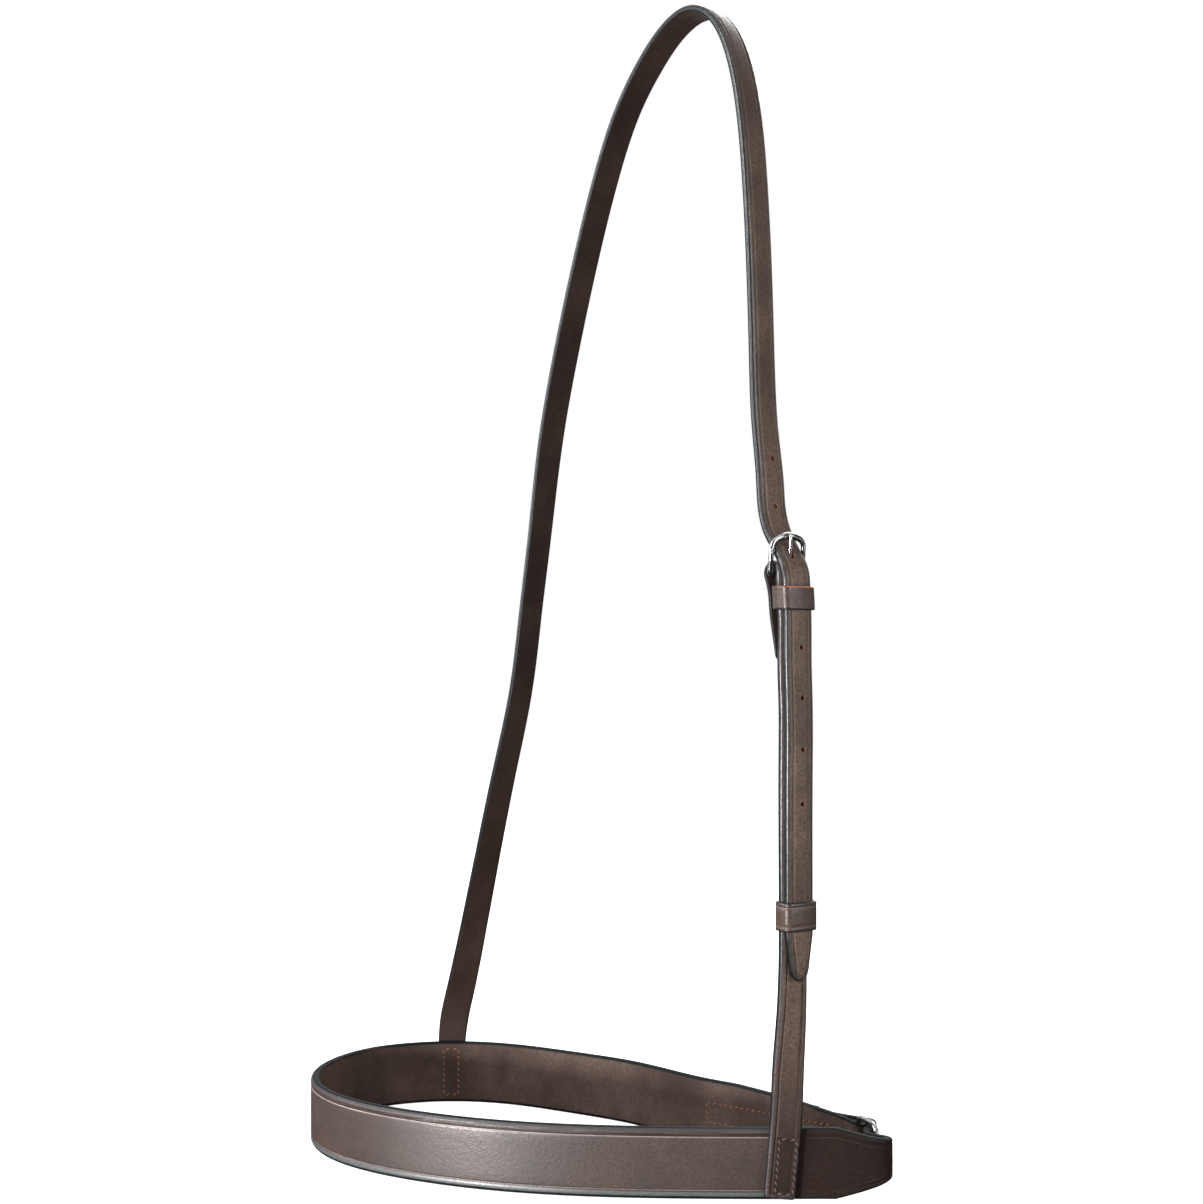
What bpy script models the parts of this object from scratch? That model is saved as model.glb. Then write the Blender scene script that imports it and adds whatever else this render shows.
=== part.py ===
"""Bridle noseband: a flat cavesson band, its sliphead, two buckles, keepers and seams.

Units are metres and +Z is up. The noseband stands on the lower edge of its wide band.
The horse's nose points to -X, the near (left) cheek is at -Y and the off cheek at +Y.
"""
import math

import bmesh
import bpy
import numpy as np
from mathutils import Matrix, Vector

MM = 0.001

# Leather sizes
BAND_HEIGHT = 32 * MM
BAND_THICKNESS = 4.0 * MM
STRAP_WIDTH = 14.5 * MM
LEG_WIDTH = 15.2 * MM
STRAP_THICKNESS = 3.4 * MM
BILLET_WIDTH = 16.0 * MM
BILLET_THICKNESS = 3.4 * MM
TURNBACK_WIDTH = 14.0 * MM
TURNBACK_THICKNESS = 2.2 * MM
KEEPER_THICKNESS = 1.3 * MM
EDGE_BEVEL = 0.7 * MM
REST_GAP = 0.3 * MM
THREAD_LAYER_GAP = 1.1 * MM

# Buckles
BAR_RADIUS = 1.2 * MM
FRONT_BAR_HALF_WIDTH = 1.7 * MM
FRONT_BAR_HALF_DEPTH = 1.3 * MM
BUCKLE_LENGTH = 17.0 * MM
BUCKLE_RISE = 2.8 * MM
CHEEK_BUCKLE_WIDTH = 15.3 * MM
REAR_BUCKLE_WIDTH = 16.7 * MM
BUCKLE_CORNER = 4.8 * MM
TONGUE_RADIUS = 1.0 * MM
TONGUE_REACH = 17.4 * MM

# Adjustment holes of the sliphead
HOLE_RADIUS = 1.1 * MM
HOLE_HEIGHTS = np.array([178.3, 202.5, 225.4, 247.9, 269.0, 310.8, 332.5]) * MM
HOLE_SIDE = 0.9 * MM
TONGUE_HOLE_RADIUS = 1.5 * MM

# Seams
THREAD_RADIUS = 0.25 * MM
THREAD_LIFT = 0.12 * MM
STITCH_PITCH = 3.2 * MM
STITCH_WAVE = 0.08 * MM

# Where the stack of cheek strap and sliphead hangs on the near side
CHEEK_TURN = math.radians(31)
CHEEK_LEAN = math.radians(3.5)
STACK_PLACE = np.array([90.35, -84.1, 280.5]) * MM
HEEL_SHIFT = -1.8 * MM
FIXED_KEEPER_DROP = 10.8 * MM
FIXED_KEEPER_HEIGHT = 10.6 * MM
FIXED_KEEPER_SLACK = 0.6 * MM
SLIDING_KEEPER_Z = 128.4 * MM
SLIDING_KEEPER_HEIGHT = 12.8 * MM
TURNBACK_START = 16 * MM
TURNBACK_LENGTH = 38 * MM
FOLD_BULGE = 3.0 * MM

# Where the rear buckle hangs, and how the off end and the frame point in plan
REAR_HEEL = np.array([127.5, -40.5, 16.0]) * MM
OFF_HEADING = math.radians(-36.9)
FRAME_HEADING = math.radians(-78)
REAR_TURNBACK_LENGTH = 86 * MM
REAR_KEEPERS = (30 * MM, 54 * MM)
REAR_KEEPER_HEIGHT = 9 * MM
BILLET_END = 66 * MM
REAR_ROW = (9.6 * MM, 70 * MM)
REAR_ROW_START = 12 * MM

# Where the sliphead is sewn to the band
NEAR_SEAM = np.array([87.3, -85.5]) * MM
NEAR_SEAM_LEAN = math.radians(5)
NEAR_SEAM_TURN = math.radians(1.5)
NEAR_SEAM_SIDE = 1.6 * MM
OFF_SEAM = np.array([-74.1, 90.0]) * MM
SEAM_BOX = (7.8 * MM, 24.5 * MM)
SEAM_CENTRE_Z = 16 * MM
STRAP_FOOT = 0.6 * MM
LEANING_FOOT = 1.3 * MM

MAX_TURN = math.radians(10)
MAX_RUN = 14 * MM

# Middle of the whole noseband's box in plan, in the frame of the places above
PLAN_MIDDLE = Vector((-0.10, -2.77, 0)) * MM


def clear_scene():
    """Empty the file's default scene."""
    for thing in list(bpy.data.objects):
        bpy.data.objects.remove(thing, do_unlink=True)


def collection(name):
    """Make a collection under the scene."""
    made = bpy.data.collections.new(name)
    bpy.context.scene.collection.children.link(made)
    return made


def material(name, colour, roughness, metallic=0.0):
    """Plain Principled material."""
    made = bpy.data.materials.new(name)
    made.use_nodes = True
    shader = made.node_tree.nodes["Principled BSDF"]
    shader.inputs["Base Color"].default_value = (*colour, 1.0)
    shader.inputs["Roughness"].default_value = roughness
    shader.inputs["Metallic"].default_value = metallic
    return made


# Routes


def spline(control):
    """Natural cubic spline through the control points, as a function of chord length."""
    points = np.asarray(control, float)[:, :3]
    chords = np.linalg.norm(np.diff(points, axis=0), axis=1)
    knots = np.concatenate(([0.0], np.cumsum(chords)))
    count = len(points)
    system = np.eye(count)
    right = np.zeros((count, 3))
    for i in range(1, count - 1):
        before = knots[i] - knots[i - 1]
        after = knots[i + 1] - knots[i]
        system[i, i - 1:i + 2] = before, 2 * (before + after), after
        right[i] = 6 * ((points[i + 1] - points[i]) / after - (points[i] - points[i - 1]) / before)
    bends = np.linalg.solve(system, right)

    def at(distance):
        i = min(max(int(np.searchsorted(knots, distance)) - 1, 0), count - 2)
        span = knots[i + 1] - knots[i]
        a = (knots[i + 1] - distance) / span
        b = 1 - a
        straight = a * points[i] + b * points[i + 1]
        curve = ((a ** 3 - a) * bends[i] + (b ** 3 - b) * bends[i + 1]) * span ** 2 / 6
        return straight + curve

    return at, knots


def stations(control, max_turn=MAX_TURN, max_run=MAX_RUN):
    """Points along the spline of a route, closer together where it bends.

    Columns after the third, such as a turn or a half width, follow linearly.
    """
    control = np.asarray(control, float)
    at, knots = spline(control)
    steps = np.linspace(0, knots[-1], int(knots[-1] / (0.25 * MM)) + 2)
    fine = np.array([at(step) for step in steps])
    heading = np.diff(fine, axis=0)
    heading /= np.linalg.norm(heading, axis=1)[:, None]
    kept = [0]
    turned = 0.0
    run = 0.0
    for i in range(1, len(fine) - 1):
        turned += math.acos(min(1.0, float(heading[i] @ heading[i - 1])))
        run += float(np.linalg.norm(fine[i] - fine[i - 1]))
        if turned > max_turn or run > max_run:
            kept.append(i)
            turned = 0.0
            run = 0.0
    kept.append(len(fine) - 1)
    extras = [np.interp(steps[kept], knots, column) for column in control[:, 3:].T]
    return np.column_stack([fine[kept]] + extras)


def headings(points):
    """Unit tangents of a run of points."""
    tangents = np.gradient(points[:, :3], axis=0)
    return tangents / np.linalg.norm(tangents, axis=1)[:, None]


def local_axes(origin, along, out):
    """Matrix whose X is the strap's width, Y runs along it and Z points out of its face."""
    along = Vector(along).normalized()
    out = Vector(out).normalized()
    side = along.cross(out)
    turn = Matrix((side, along, out)).transposed().to_4x4()
    return Matrix.Translation(Vector(origin)) @ turn


# Solids


def link(thing, home, dressing=None):
    """Put an object in its collection with its material."""
    home.objects.link(thing)
    if dressing:
        thing.data.materials.append(dressing)
    return thing


def add_bevel(thing, width, segments=1, angle=50):
    """Soften the sharp edges."""
    bevel = thing.modifiers.new("Bevel", "BEVEL")
    bevel.width = width
    bevel.segments = segments
    bevel.limit_method = "ANGLE"
    bevel.angle_limit = math.radians(angle)


def add_cut(thing, cutter):
    """Cut one shape out of another."""
    cut = thing.modifiers.new("Cut " + cutter.name, "BOOLEAN")
    cut.operation = "DIFFERENCE"
    cut.solver = "EXACT"
    cut.object = cutter


def strap(name, points, sides, half_widths, thickness, home, dressing, skive=None, bevel=EDGE_BEVEL):
    """Leather strap: a strip laid along its centre line, thickened to both sides.

    sides are the unit width directions, and skive is the share of the thickness kept.
    """
    count = len(points)
    mesh = bpy.data.meshes.new(name)
    work = bmesh.new()
    bmesh.ops.create_grid(work, x_segments=count - 1, y_segments=1, size=0.5)
    shares = {}
    for vert in work.verts:
        i = int(round((vert.co.x + 0.5) * (count - 1)))
        edge = 1.0 if vert.co.y > 0 else -1.0
        shares[vert.index] = i
        vert.co = Vector(points[i][:3] + sides[i] * half_widths[i] * edge)
    work.to_mesh(mesh)
    work.free()
    thing = bpy.data.objects.new(name, mesh)
    link(thing, home, dressing)
    solidify = thing.modifiers.new("Leather", "SOLIDIFY")
    solidify.thickness = thickness
    solidify.offset = 0
    solidify.use_even_offset = True
    if skive is not None:
        group = thing.vertex_groups.new(name="skive")
        for index, i in shares.items():
            group.add([index], float(skive[i]), "REPLACE")
        solidify.vertex_group = group.name
    add_bevel(thing, bevel)
    return thing


def tube(name, points, radius, home, dressing=None, cyclic=False, resolution=2, shares=None):
    """Round bar or thread as a mesh, from a bevelled curve with filled caps.

    shares are the points' own radii, as shares of the radius.
    """
    curve = bpy.data.curves.new(name, "CURVE")
    curve.dimensions = "3D"
    curve.bevel_depth = radius
    curve.bevel_resolution = resolution
    curve.use_fill_caps = True
    line = curve.splines.new("POLY")
    line.points.add(len(points) - 1)
    for point, place, share in zip(line.points, points, shares or [1.0] * len(points)):
        point.co = (*place[:3], 1.0)
        point.radius = share
    line.use_cyclic_u = cyclic
    drawn = bpy.data.objects.new(name + "_curve", curve)
    home.objects.link(drawn)
    bpy.context.view_layer.update()
    seen = drawn.evaluated_get(bpy.context.evaluated_depsgraph_get())
    mesh = bpy.data.meshes.new_from_object(seen)
    bpy.data.objects.remove(drawn, do_unlink=True)
    work = bmesh.new()
    work.from_mesh(mesh)
    bmesh.ops.remove_doubles(work, verts=work.verts, dist=0.005 * MM)
    work.to_mesh(mesh)
    work.free()
    mesh.materials.clear()
    mesh.name = name
    mesh.shade_smooth()
    return link(bpy.data.objects.new(name, mesh), home, dressing)


def cutter_object(name, mesh, matrix, home):
    """Hidden object that a Boolean uses."""
    thing = bpy.data.objects.new(name, mesh)
    home.objects.link(thing)
    thing.matrix_world = matrix
    thing.hide_render = True
    thing.display_type = "WIRE"
    return thing


def pin_cutter(name, centre, axis, radius, length, home):
    """Round punch through a strap."""
    mesh = bpy.data.meshes.new(name)
    work = bmesh.new()
    bmesh.ops.create_cone(work, cap_ends=True, segments=12, radius1=radius, radius2=radius, depth=length)
    work.to_mesh(mesh)
    work.free()
    turn = Vector((0, 0, 1)).rotation_difference(Vector(axis)).to_matrix().to_4x4()
    return cutter_object(name, mesh, Matrix.Translation(Vector(centre)) @ turn, home)


def box_cutter(name, size, centre, matrix, home):
    """Slot punch, placed in a local frame."""
    mesh = bpy.data.meshes.new(name)
    work = bmesh.new()
    bmesh.ops.create_cube(work, size=1.0)
    for vert in work.verts:
        vert.co = Vector(centre) + Vector(s * c for s, c in zip(size, vert.co))
    work.to_mesh(mesh)
    work.free()
    return cutter_object(name, mesh, matrix, home)


def keeper(name, opening, height, matrix, home, dressing):
    """Leather loop round a stack of straps; opening is (width, low face, high face)."""
    width, low, high = opening
    mesh = bpy.data.meshes.new(name)
    work = bmesh.new()
    bmesh.ops.create_cube(work, size=1.0)
    for vert in work.verts:
        x, y, z = vert.co
        vert.co = (x * width, y * height, (low + high) / 2 + z * (high - low))
    ends = [face for face in work.faces if abs(face.normal.y) > 0.5]
    bmesh.ops.delete(work, geom=ends, context="FACES_ONLY")
    corners = [edge for edge in work.edges if abs(edge.verts[0].co.y - edge.verts[1].co.y) > height / 2]
    bmesh.ops.bevel(work, geom=corners, offset=1.0 * MM, segments=3, profile=0.5, affect="EDGES")
    bmesh.ops.recalc_face_normals(work, faces=work.faces)
    work.to_mesh(mesh)
    work.free()
    thing = bpy.data.objects.new(name, mesh)
    link(thing, home, dressing)
    thing.matrix_world = matrix
    shell = thing.modifiers.new("Leather", "SOLIDIFY")
    shell.thickness = KEEPER_THICKNESS
    shell.offset = 1
    shell.use_even_offset = True
    add_bevel(thing, 0.35 * MM)
    return thing


# Buckles


def frame_rise(along):
    """Height of the frame's bars over the heel bar, which lifts the front bar clear."""
    return BUCKLE_RISE * math.sin(math.pi / 2 * min(max(along / BUCKLE_LENGTH, 0), 1))


def frame_outline(inner_width):
    """Centre line of the buckle's bars: heel bar, sides, round corners and a bowed front."""
    half = inner_width / 2 + BAR_RADIUS
    heel_corner = 2.0 * MM
    corner = BUCKLE_CORNER
    bow = 0.9 * MM
    right = [(half - heel_corner * (1 - math.sin(a)), heel_corner * (1 - math.cos(a)))
             for a in np.radians([0, 30, 60, 90])]
    right += [(half, share * BUCKLE_LENGTH) for share in (0.25, 0.45, 0.6)]
    shoulder = BUCKLE_LENGTH - bow - corner
    right += [(half - corner * (1 - math.cos(a)), shoulder + corner * math.sin(a))
              for a in np.radians([0, 25, 50, 75])]
    right += [(half * 0.25, BUCKLE_LENGTH - bow * 0.15)]
    left = [(-x, y) for x, y in reversed(right)]
    return [(x, y, frame_rise(y)) for x, y in right + left]


def tongue_rest():
    """Height of the tongue's middle where it lies on the front bar."""
    return BUCKLE_RISE + FRONT_BAR_HALF_DEPTH + TONGUE_RADIUS + 0.28 * MM


def front_share(along):
    """Share of the way from the side bars to the wider, flatter front bar."""
    start = 0.72 * BUCKLE_LENGTH
    return min(max((along - start) / (BUCKLE_LENGTH - start), 0.0), 1.0)


def build_frame(name, inner_width, home, steel):
    """Cast frame: round heel and side bars, and a wider, flatter front bar."""
    outline = frame_outline(inner_width)
    widening = FRONT_BAR_HALF_WIDTH / BAR_RADIUS - 1
    shares = [1 + widening * front_share(place[1]) ** 1.5 for place in outline]
    frame = tube(name, outline, BAR_RADIUS, home, steel, cyclic=True, resolution=3, shares=shares)
    flattening = 1 - FRONT_BAR_HALF_DEPTH / FRONT_BAR_HALF_WIDTH
    for vert in frame.data.vertices:
        middle = frame_rise(vert.co.y)
        vert.co.z = middle + (vert.co.z - middle) * (1 - flattening * front_share(vert.co.y) ** 1.5)
    return frame


def tongue_line():
    """Centre line of the tongue: a loop round the heel bar, then a shank to the front bar."""
    wrap = BAR_RADIUS + REST_GAP + TONGUE_RADIUS
    loop = [(0.0, wrap * math.cos(a), wrap * math.sin(a)) for a in np.radians(np.arange(-60, -271, -30))]
    slope = (tongue_rest() - wrap) / BUCKLE_LENGTH
    shank = [(0.0, y, wrap + slope * y) for y in np.array([0.2, 0.5, 0.8]) * TONGUE_REACH]
    tip = [(0.0, TONGUE_REACH, wrap + slope * TONGUE_REACH - 0.05 * MM)]
    return loop + shank + tip


def shank_direction(matrix, lift):
    """World direction of the tongue's shank when it is lifted by an angle."""
    wrap = BAR_RADIUS + REST_GAP + TONGUE_RADIUS
    slope = math.atan2(tongue_rest() - wrap, BUCKLE_LENGTH) + lift
    return (matrix.to_3x3() @ Vector((0, math.cos(slope), math.sin(slope)))).normalized()


def buckle(prefix, inner_width, matrix, home, steel):
    """Frame and tongue on an empty that marks the heel bar's axis."""
    pivot = bpy.data.objects.new(prefix + "_heel_axis", None)
    home.objects.link(pivot)
    pivot.empty_display_size = 10 * MM
    pivot.matrix_world = matrix
    frame = build_frame(prefix + "_buckle_frame", inner_width, home, steel)
    tongue = tube(prefix + "_buckle_tongue", tongue_line(), TONGUE_RADIUS, home, steel)
    frame.parent = pivot
    tongue.parent = pivot


def tongue_cutters(prefix, matrix, home):
    """Punches for the hole that the tongue stands in, wide enough for its small lift."""
    wrap = BAR_RADIUS + REST_GAP + TONGUE_RADIUS
    made = []
    for index, lift in enumerate(np.radians([0, 4, 8])):
        axis = shank_direction(matrix, lift)
        start = matrix @ Vector((0, -math.sin(lift) * wrap, math.cos(lift) * wrap))
        centre = start + axis * 0.5 * TONGUE_REACH
        name = f"{prefix}_tongue_punch_{index}"
        made.append(pin_cutter(name, centre, axis, TONGUE_HOLE_RADIUS, 1.5 * TONGUE_REACH, home))
    return made


# Seams


def stitched_box(name, size, matrix, home, dressing, lift):
    """Closed rectangle of stitches: one thread that rises and dips once a stitch.

    lift is its height, or the height for each distance along.
    """
    heights = lift if callable(lift) else lambda along: lift
    width, length = size
    corners = [(-width / 2, -length / 2), (width / 2, -length / 2), (width / 2, length / 2), (-width / 2, length / 2)]
    places = []
    for (x0, y0), (x1, y1) in zip(corners, corners[1:] + corners[:1]):
        run = math.hypot(x1 - x0, y1 - y0)
        count = max(2, 2 * round(run / STITCH_PITCH))
        for i in range(count):
            share = i / count
            wave = STITCH_WAVE if i % 2 else -STITCH_WAVE
            y = y0 + (y1 - y0) * share
            places.append((x0 + (x1 - x0) * share, y, heights(y) + wave))
    thread = tube(name, places, THREAD_RADIUS, home, dressing, cyclic=True, resolution=0)
    thread.matrix_world = matrix
    return thread


def seam(prefix, size, matrix, face_heights, home, threads):
    """Top thread over the outer face and bobbin thread under the inner face."""
    high, low = face_heights
    clear = THREAD_RADIUS + THREAD_LIFT + STITCH_WAVE
    stitched_box(prefix + "_top_thread", size, matrix, home, threads["top"], high + clear)
    stitched_box(prefix + "_bobbin_thread", size, matrix, home, threads["bobbin"], low - clear)


# The noseband


def stack_matrix():
    """Upright frame of the straight stack of cheek strap and sliphead."""
    out = (math.sin(CHEEK_TURN), -math.cos(CHEEK_TURN), 0)
    return local_axes(STACK_PLACE, (0, 0, 1), out)


def cheek_matrix():
    """Frame on the cheek buckle's heel bar, which leans forward a little."""
    shift = Matrix.Translation((HEEL_SHIFT, 0, 0))
    return stack_matrix() @ shift @ Matrix.Rotation(CHEEK_LEAN, 4, "Z")


def off_matrix():
    """Frame on the rear heel bar, pointing as the band's off end lies."""
    along = (math.cos(OFF_HEADING), math.sin(OFF_HEADING), 0)
    return local_axes(REAR_HEEL, along, (-along[1], along[0], 0))


def rear_matrix():
    """Frame on the rear heel bar, pointing as the buckle hangs."""
    along = (math.cos(FRAME_HEADING), math.sin(FRAME_HEADING), 0)
    return local_axes(REAR_HEEL, along, (-along[1], along[0], 0))


def placed(matrix, along, out, side=0.0):
    """World place of a point of a local frame, in metres."""
    return np.array(matrix @ Vector((side, along, out)))


# Heights of the layers over the heel bars: out of the page in each buckle's frame
MAIN_IN_CHEEK = BAR_RADIUS + REST_GAP + STRAP_THICKNESS / 2
TAIL_IN_CHEEK = MAIN_IN_CHEEK + STRAP_THICKNESS + THREAD_LAYER_GAP
OFF_FACE = -BAR_RADIUS - REST_GAP
TURNBACK_IN_REAR = OFF_FACE + KEEPER_THICKNESS + 2 * REST_GAP + TURNBACK_THICKNESS / 2
BILLET_IN_REAR = TURNBACK_IN_REAR + TURNBACK_THICKNESS / 2 + THREAD_LAYER_GAP + BILLET_THICKNESS / 2


def band_route():
    """Centre line of the band, from its turned-back off end, round the nose, to the billet's point.

    Columns after the place are the half width and the share of the leather's thickness.
    """
    off = off_matrix()
    rear = rear_matrix()
    middle = BAND_HEIGHT / 2
    thin = TURNBACK_THICKNESS / BAND_THICKNESS
    billet = BILLET_THICKNESS / BAND_THICKNESS
    half = TURNBACK_WIDTH / 2
    closed = OFF_FACE + REST_GAP + TURNBACK_THICKNESS / 2
    radius = BAR_RADIUS + REST_GAP + TURNBACK_THICKNESS / 2
    turned = [(*placed(off, -REAR_TURNBACK_LENGTH, closed)[:2], middle, half * 0.94, thin * 0.7)]
    turned += [(*placed(off, -back * MM, out)[:2], middle, half, thin) for back, out in (
        (80, closed), (76, closed), (60, TURNBACK_IN_REAR), (56, TURNBACK_IN_REAR), (40, TURNBACK_IN_REAR),
        (25, TURNBACK_IN_REAR), (12, TURNBACK_IN_REAR), (5, TURNBACK_IN_REAR + 0.5 * MM), (0, radius))]
    wrap = [(*placed(off, along, out)[:2], middle, half, thin) for along, out in fold(radius)]
    off_side = [(*placed(off, -back * MM, OFF_FACE - keep * BAND_THICKNESS / 2)[:2], middle, width * MM, keep)
                for back, width, keep in ((0, 7.8, thin), (5, 9.2, 0.64), (14, 11.0, 0.82), (26, 12.6, 1.0),
                                          (42, 14.3, 1.0), (66, 15.9, 1.0), (86, 16, 1.0))]
    nose = [(x * MM, y * MM, middle, BAND_HEIGHT / 2, 1.0) for x, y in (
        (40, 25.0), (21.5, 42.8), (2.5, 55.8), (-16.4, 67.0), (-36, 77.4), (-62, 85.2), (-73.4, 85.9),
        (-84, 85.1), (-96, 82.0), (-110, 75.3), (-127, 56.5), (-135.6, 34), (-136.5, 13), (-131, -6.5),
        (-120, -24), (-103, -40), (-80, -54.2), (-50, -66.8), (-20, -74.6), (12, -79), (48, -81),
        (88.5, -81.5), (112, -81.4))]
    bend = [(x * MM, y * MM, middle, width * MM, keep) for x, y, width, keep in (
        (127.0, -80.8, 11.9, 1.0), (134.0, -77.6, 10.0, 0.95), (136.9, -71.5, 9.0, 0.9))]
    half = BILLET_WIDTH / 2
    through = [(*placed(rear, along * MM, out * MM)[:2], middle, half, billet)
               for along, out in ((20.5, -2.3), (15.5, -1.6), (11, 0.9), (7.0, 3.8))]
    over = [(*placed(off, along * MM, out * MM)[:2], middle, half, billet)
            for along, out in ((3.2, 6.0), (-1.5, 6.05), (-6, 5.6))]
    lie = [(*placed(off, -back, BILLET_IN_REAR)[:2], middle, half * share, billet)
           for back, share in ((13 * MM, 1), (30 * MM, 1), (BILLET_END - 11 * MM, 1),
                               (BILLET_END - 2.4 * MM, 0.6), (BILLET_END, 0.32))]
    return stations(turned + wrap + off_side + nose + bend + through + over + lie)


def build_band(home, cutters, dressing):
    """Wide band with its turned-back off end and its tapered billet, cut from one piece of leather."""
    route = band_route()
    upright = np.tile(np.array([0.0, 0.0, 1.0]), (len(route), 1))
    band = strap("nose_band", route, upright, route[:, 3], BAND_THICKNESS, home, dressing, skive=route[:, 4],
                 bevel=0.5 * MM)
    slot = box_cutter("rear_crew_punch", (3.4 * MM, 12 * MM, 10 * MM), (0, 0.8 * MM, 0), off_matrix(), cutters)
    add_cut(band, slot)
    for cutter in tongue_cutters("rear", rear_matrix(), cutters):
        add_cut(band, cutter)


def strap_sides(route, rolls=0.0):
    """Width directions of a strap whose fourth column is its turn about the vertical.

    rolls drop the side that points away, as where the strap lies over the poll.
    """
    drop = np.zeros(len(route)) - np.tan(rolls)
    wanted = np.column_stack([np.cos(route[:, 3]), np.sin(route[:, 3]), drop])
    tangents = headings(route)
    sides = wanted - np.sum(wanted * tangents, axis=1)[:, None] * tangents
    return sides / np.linalg.norm(sides, axis=1)[:, None]


def sliphead_control():
    """Control points of the sliphead from its point, up the near side, to the off seam.

    Each has its place, its turn about the vertical, its half width and its roll.
    """
    stack = stack_matrix()
    cheek = cheek_matrix()
    half = STRAP_WIDTH / 2
    leg = LEG_WIDTH / 2
    turn = math.degrees(CHEEK_TURN)
    foot = STACK_PLACE[2]
    tail = [(*placed(stack, z * MM - foot, TAIL_IN_CHEEK), turn, width * MM, 0) for z, width in (
        (99.5, 2.2), (101.3, 3.8), (104, 4.8), (120, 7.25), (150, 7.25), (190, 7.25), (222, 7.25))]
    tail += [(*placed(stack, 243 * MM - foot, TAIL_IN_CHEEK, HEEL_SHIFT / 3), turn, half, 0)]
    buckled = [(*placed(cheek, along * MM, out * MM, side * MM), turn, width * MM, 0)
               for along, out, side, width in (
        (-16, 7.7, 0, 7.25), (-7, 7.8, 0, 7.25), (-0.6, 7.7, 0, 7.25), (4.2, 6.2, 0, 7.2), (8.8, 3.0, 0, 7.0),
        (12.2, 0.6, 0, 7.0), (15.2, -1.5, -0.1, 7.1), (19, -3.6, -0.4, 7.25), (26, -6.2, -0.5, 7.25))]
    near_leg = [(x * MM, y * MM, z * MM, angle, leg, 0) for x, y, z, angle in (
        (82.7, -77.6, 323, 36), (80.8, -76.0, 345, 40), (79.3, -74.5, 380, 42), (78.2, -73.3, 420, 42),
        (76.5, -71.6, 458, 42), (73.8, -68.8, 492, 42))]
    arch = [(x * MM, y * MM, z * MM, 42, leg, roll) for x, y, z, roll in (
        (69.8, -64.7, 516.0, 3), (64.0, -58.6, 533.1, 4), (57.8, -52.2, 541.4, 5), (50.7, -44.9, 543.9, 6),
        (43.6, -37.5, 541.3, 6), (36.7, -30.5, 535.0, 5), (29, -22.6, 524.6, 4))]
    off_leg = [(x * MM, y * MM, z * MM, angle, leg, 0) for x, y, z, angle in (
        (19.3, -12.7, 507, 42), (9.3, -2.4, 479, 42), (-1.5, 8.8, 438, 42), (-11.5, 19.0, 393, 42),
        (-19.8, 27.6, 347, 43), (-25.5, 33.6, 299.6, 47), (-29.8, 38.4, 265, 48), (-35.2, 44.0, 223, 47),
        (-44.0, 53.3, 181, 43), (-53.4, 64.0, 136, 37), (-62.1, 75.0, 93, 27), (-69.2, 84.0, 60, 12),
        (-73.0, 88.6, 42, 3))]
    sewn = [(*OFF_SEAM, z, 0, half, 0) for z in (30 * MM, 18 * MM, 8 * MM, STRAP_FOOT)]
    return tail + buckled + near_leg + arch + off_leg + sewn


def sliphead_route():
    """Stations of the sliphead with turns and rolls in radians."""
    control = np.array(sliphead_control(), float)
    control[:, 3] = np.radians(control[:, 3])
    control[:, 5] = np.radians(control[:, 5])
    return stations(control)


def build_sliphead(home, cutters, dressing):
    """Long strap over the poll, punched for the cheek buckle."""
    route = sliphead_route()
    sides = strap_sides(route, route[:, 5])
    sliphead = strap("sliphead_strap", route, sides, route[:, 4], STRAP_THICKNESS, home, dressing)
    cheek = cheek_matrix()
    for cutter in tongue_cutters("cheek", cheek, cutters):
        add_cut(sliphead, cutter)
    outs = np.cross(headings(route), sides)
    poll = int(np.argmax(route[:, 2]))
    for number, height in enumerate(HOLE_HEIGHTS):
        centre, side, out = (np.array([np.interp(height, route[:poll, 2], table[:poll, i]) for i in range(3)])
                             for table in (route, sides, outs))
        centre = centre + side * HOLE_SIDE
        add_cut(sliphead, pin_cutter(f"hole_punch_{number}", centre, out, HOLE_RADIUS, 3 * STRAP_THICKNESS,
                                     cutters))


def fold(radius, step=22.5):
    """Half turn of a strap's centre line round a heel bar, as (along, out)."""
    return [(radius * math.cos(a), radius * math.sin(a)) for a in np.radians(np.arange(90 - step, -90, -step))]


def loose_fold(radius, back_radius, step=22.5):
    """Turn of the cheek strap round its heel bar, which bulges towards the back."""
    places = []
    for degrees in np.arange(90 - step, -90, -step):
        share = (90 - degrees) / 180
        reach = radius + (back_radius - radius) * share
        angle = math.radians(degrees)
        places.append((reach * math.cos(angle), reach * math.sin(angle)))
    return places


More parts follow.
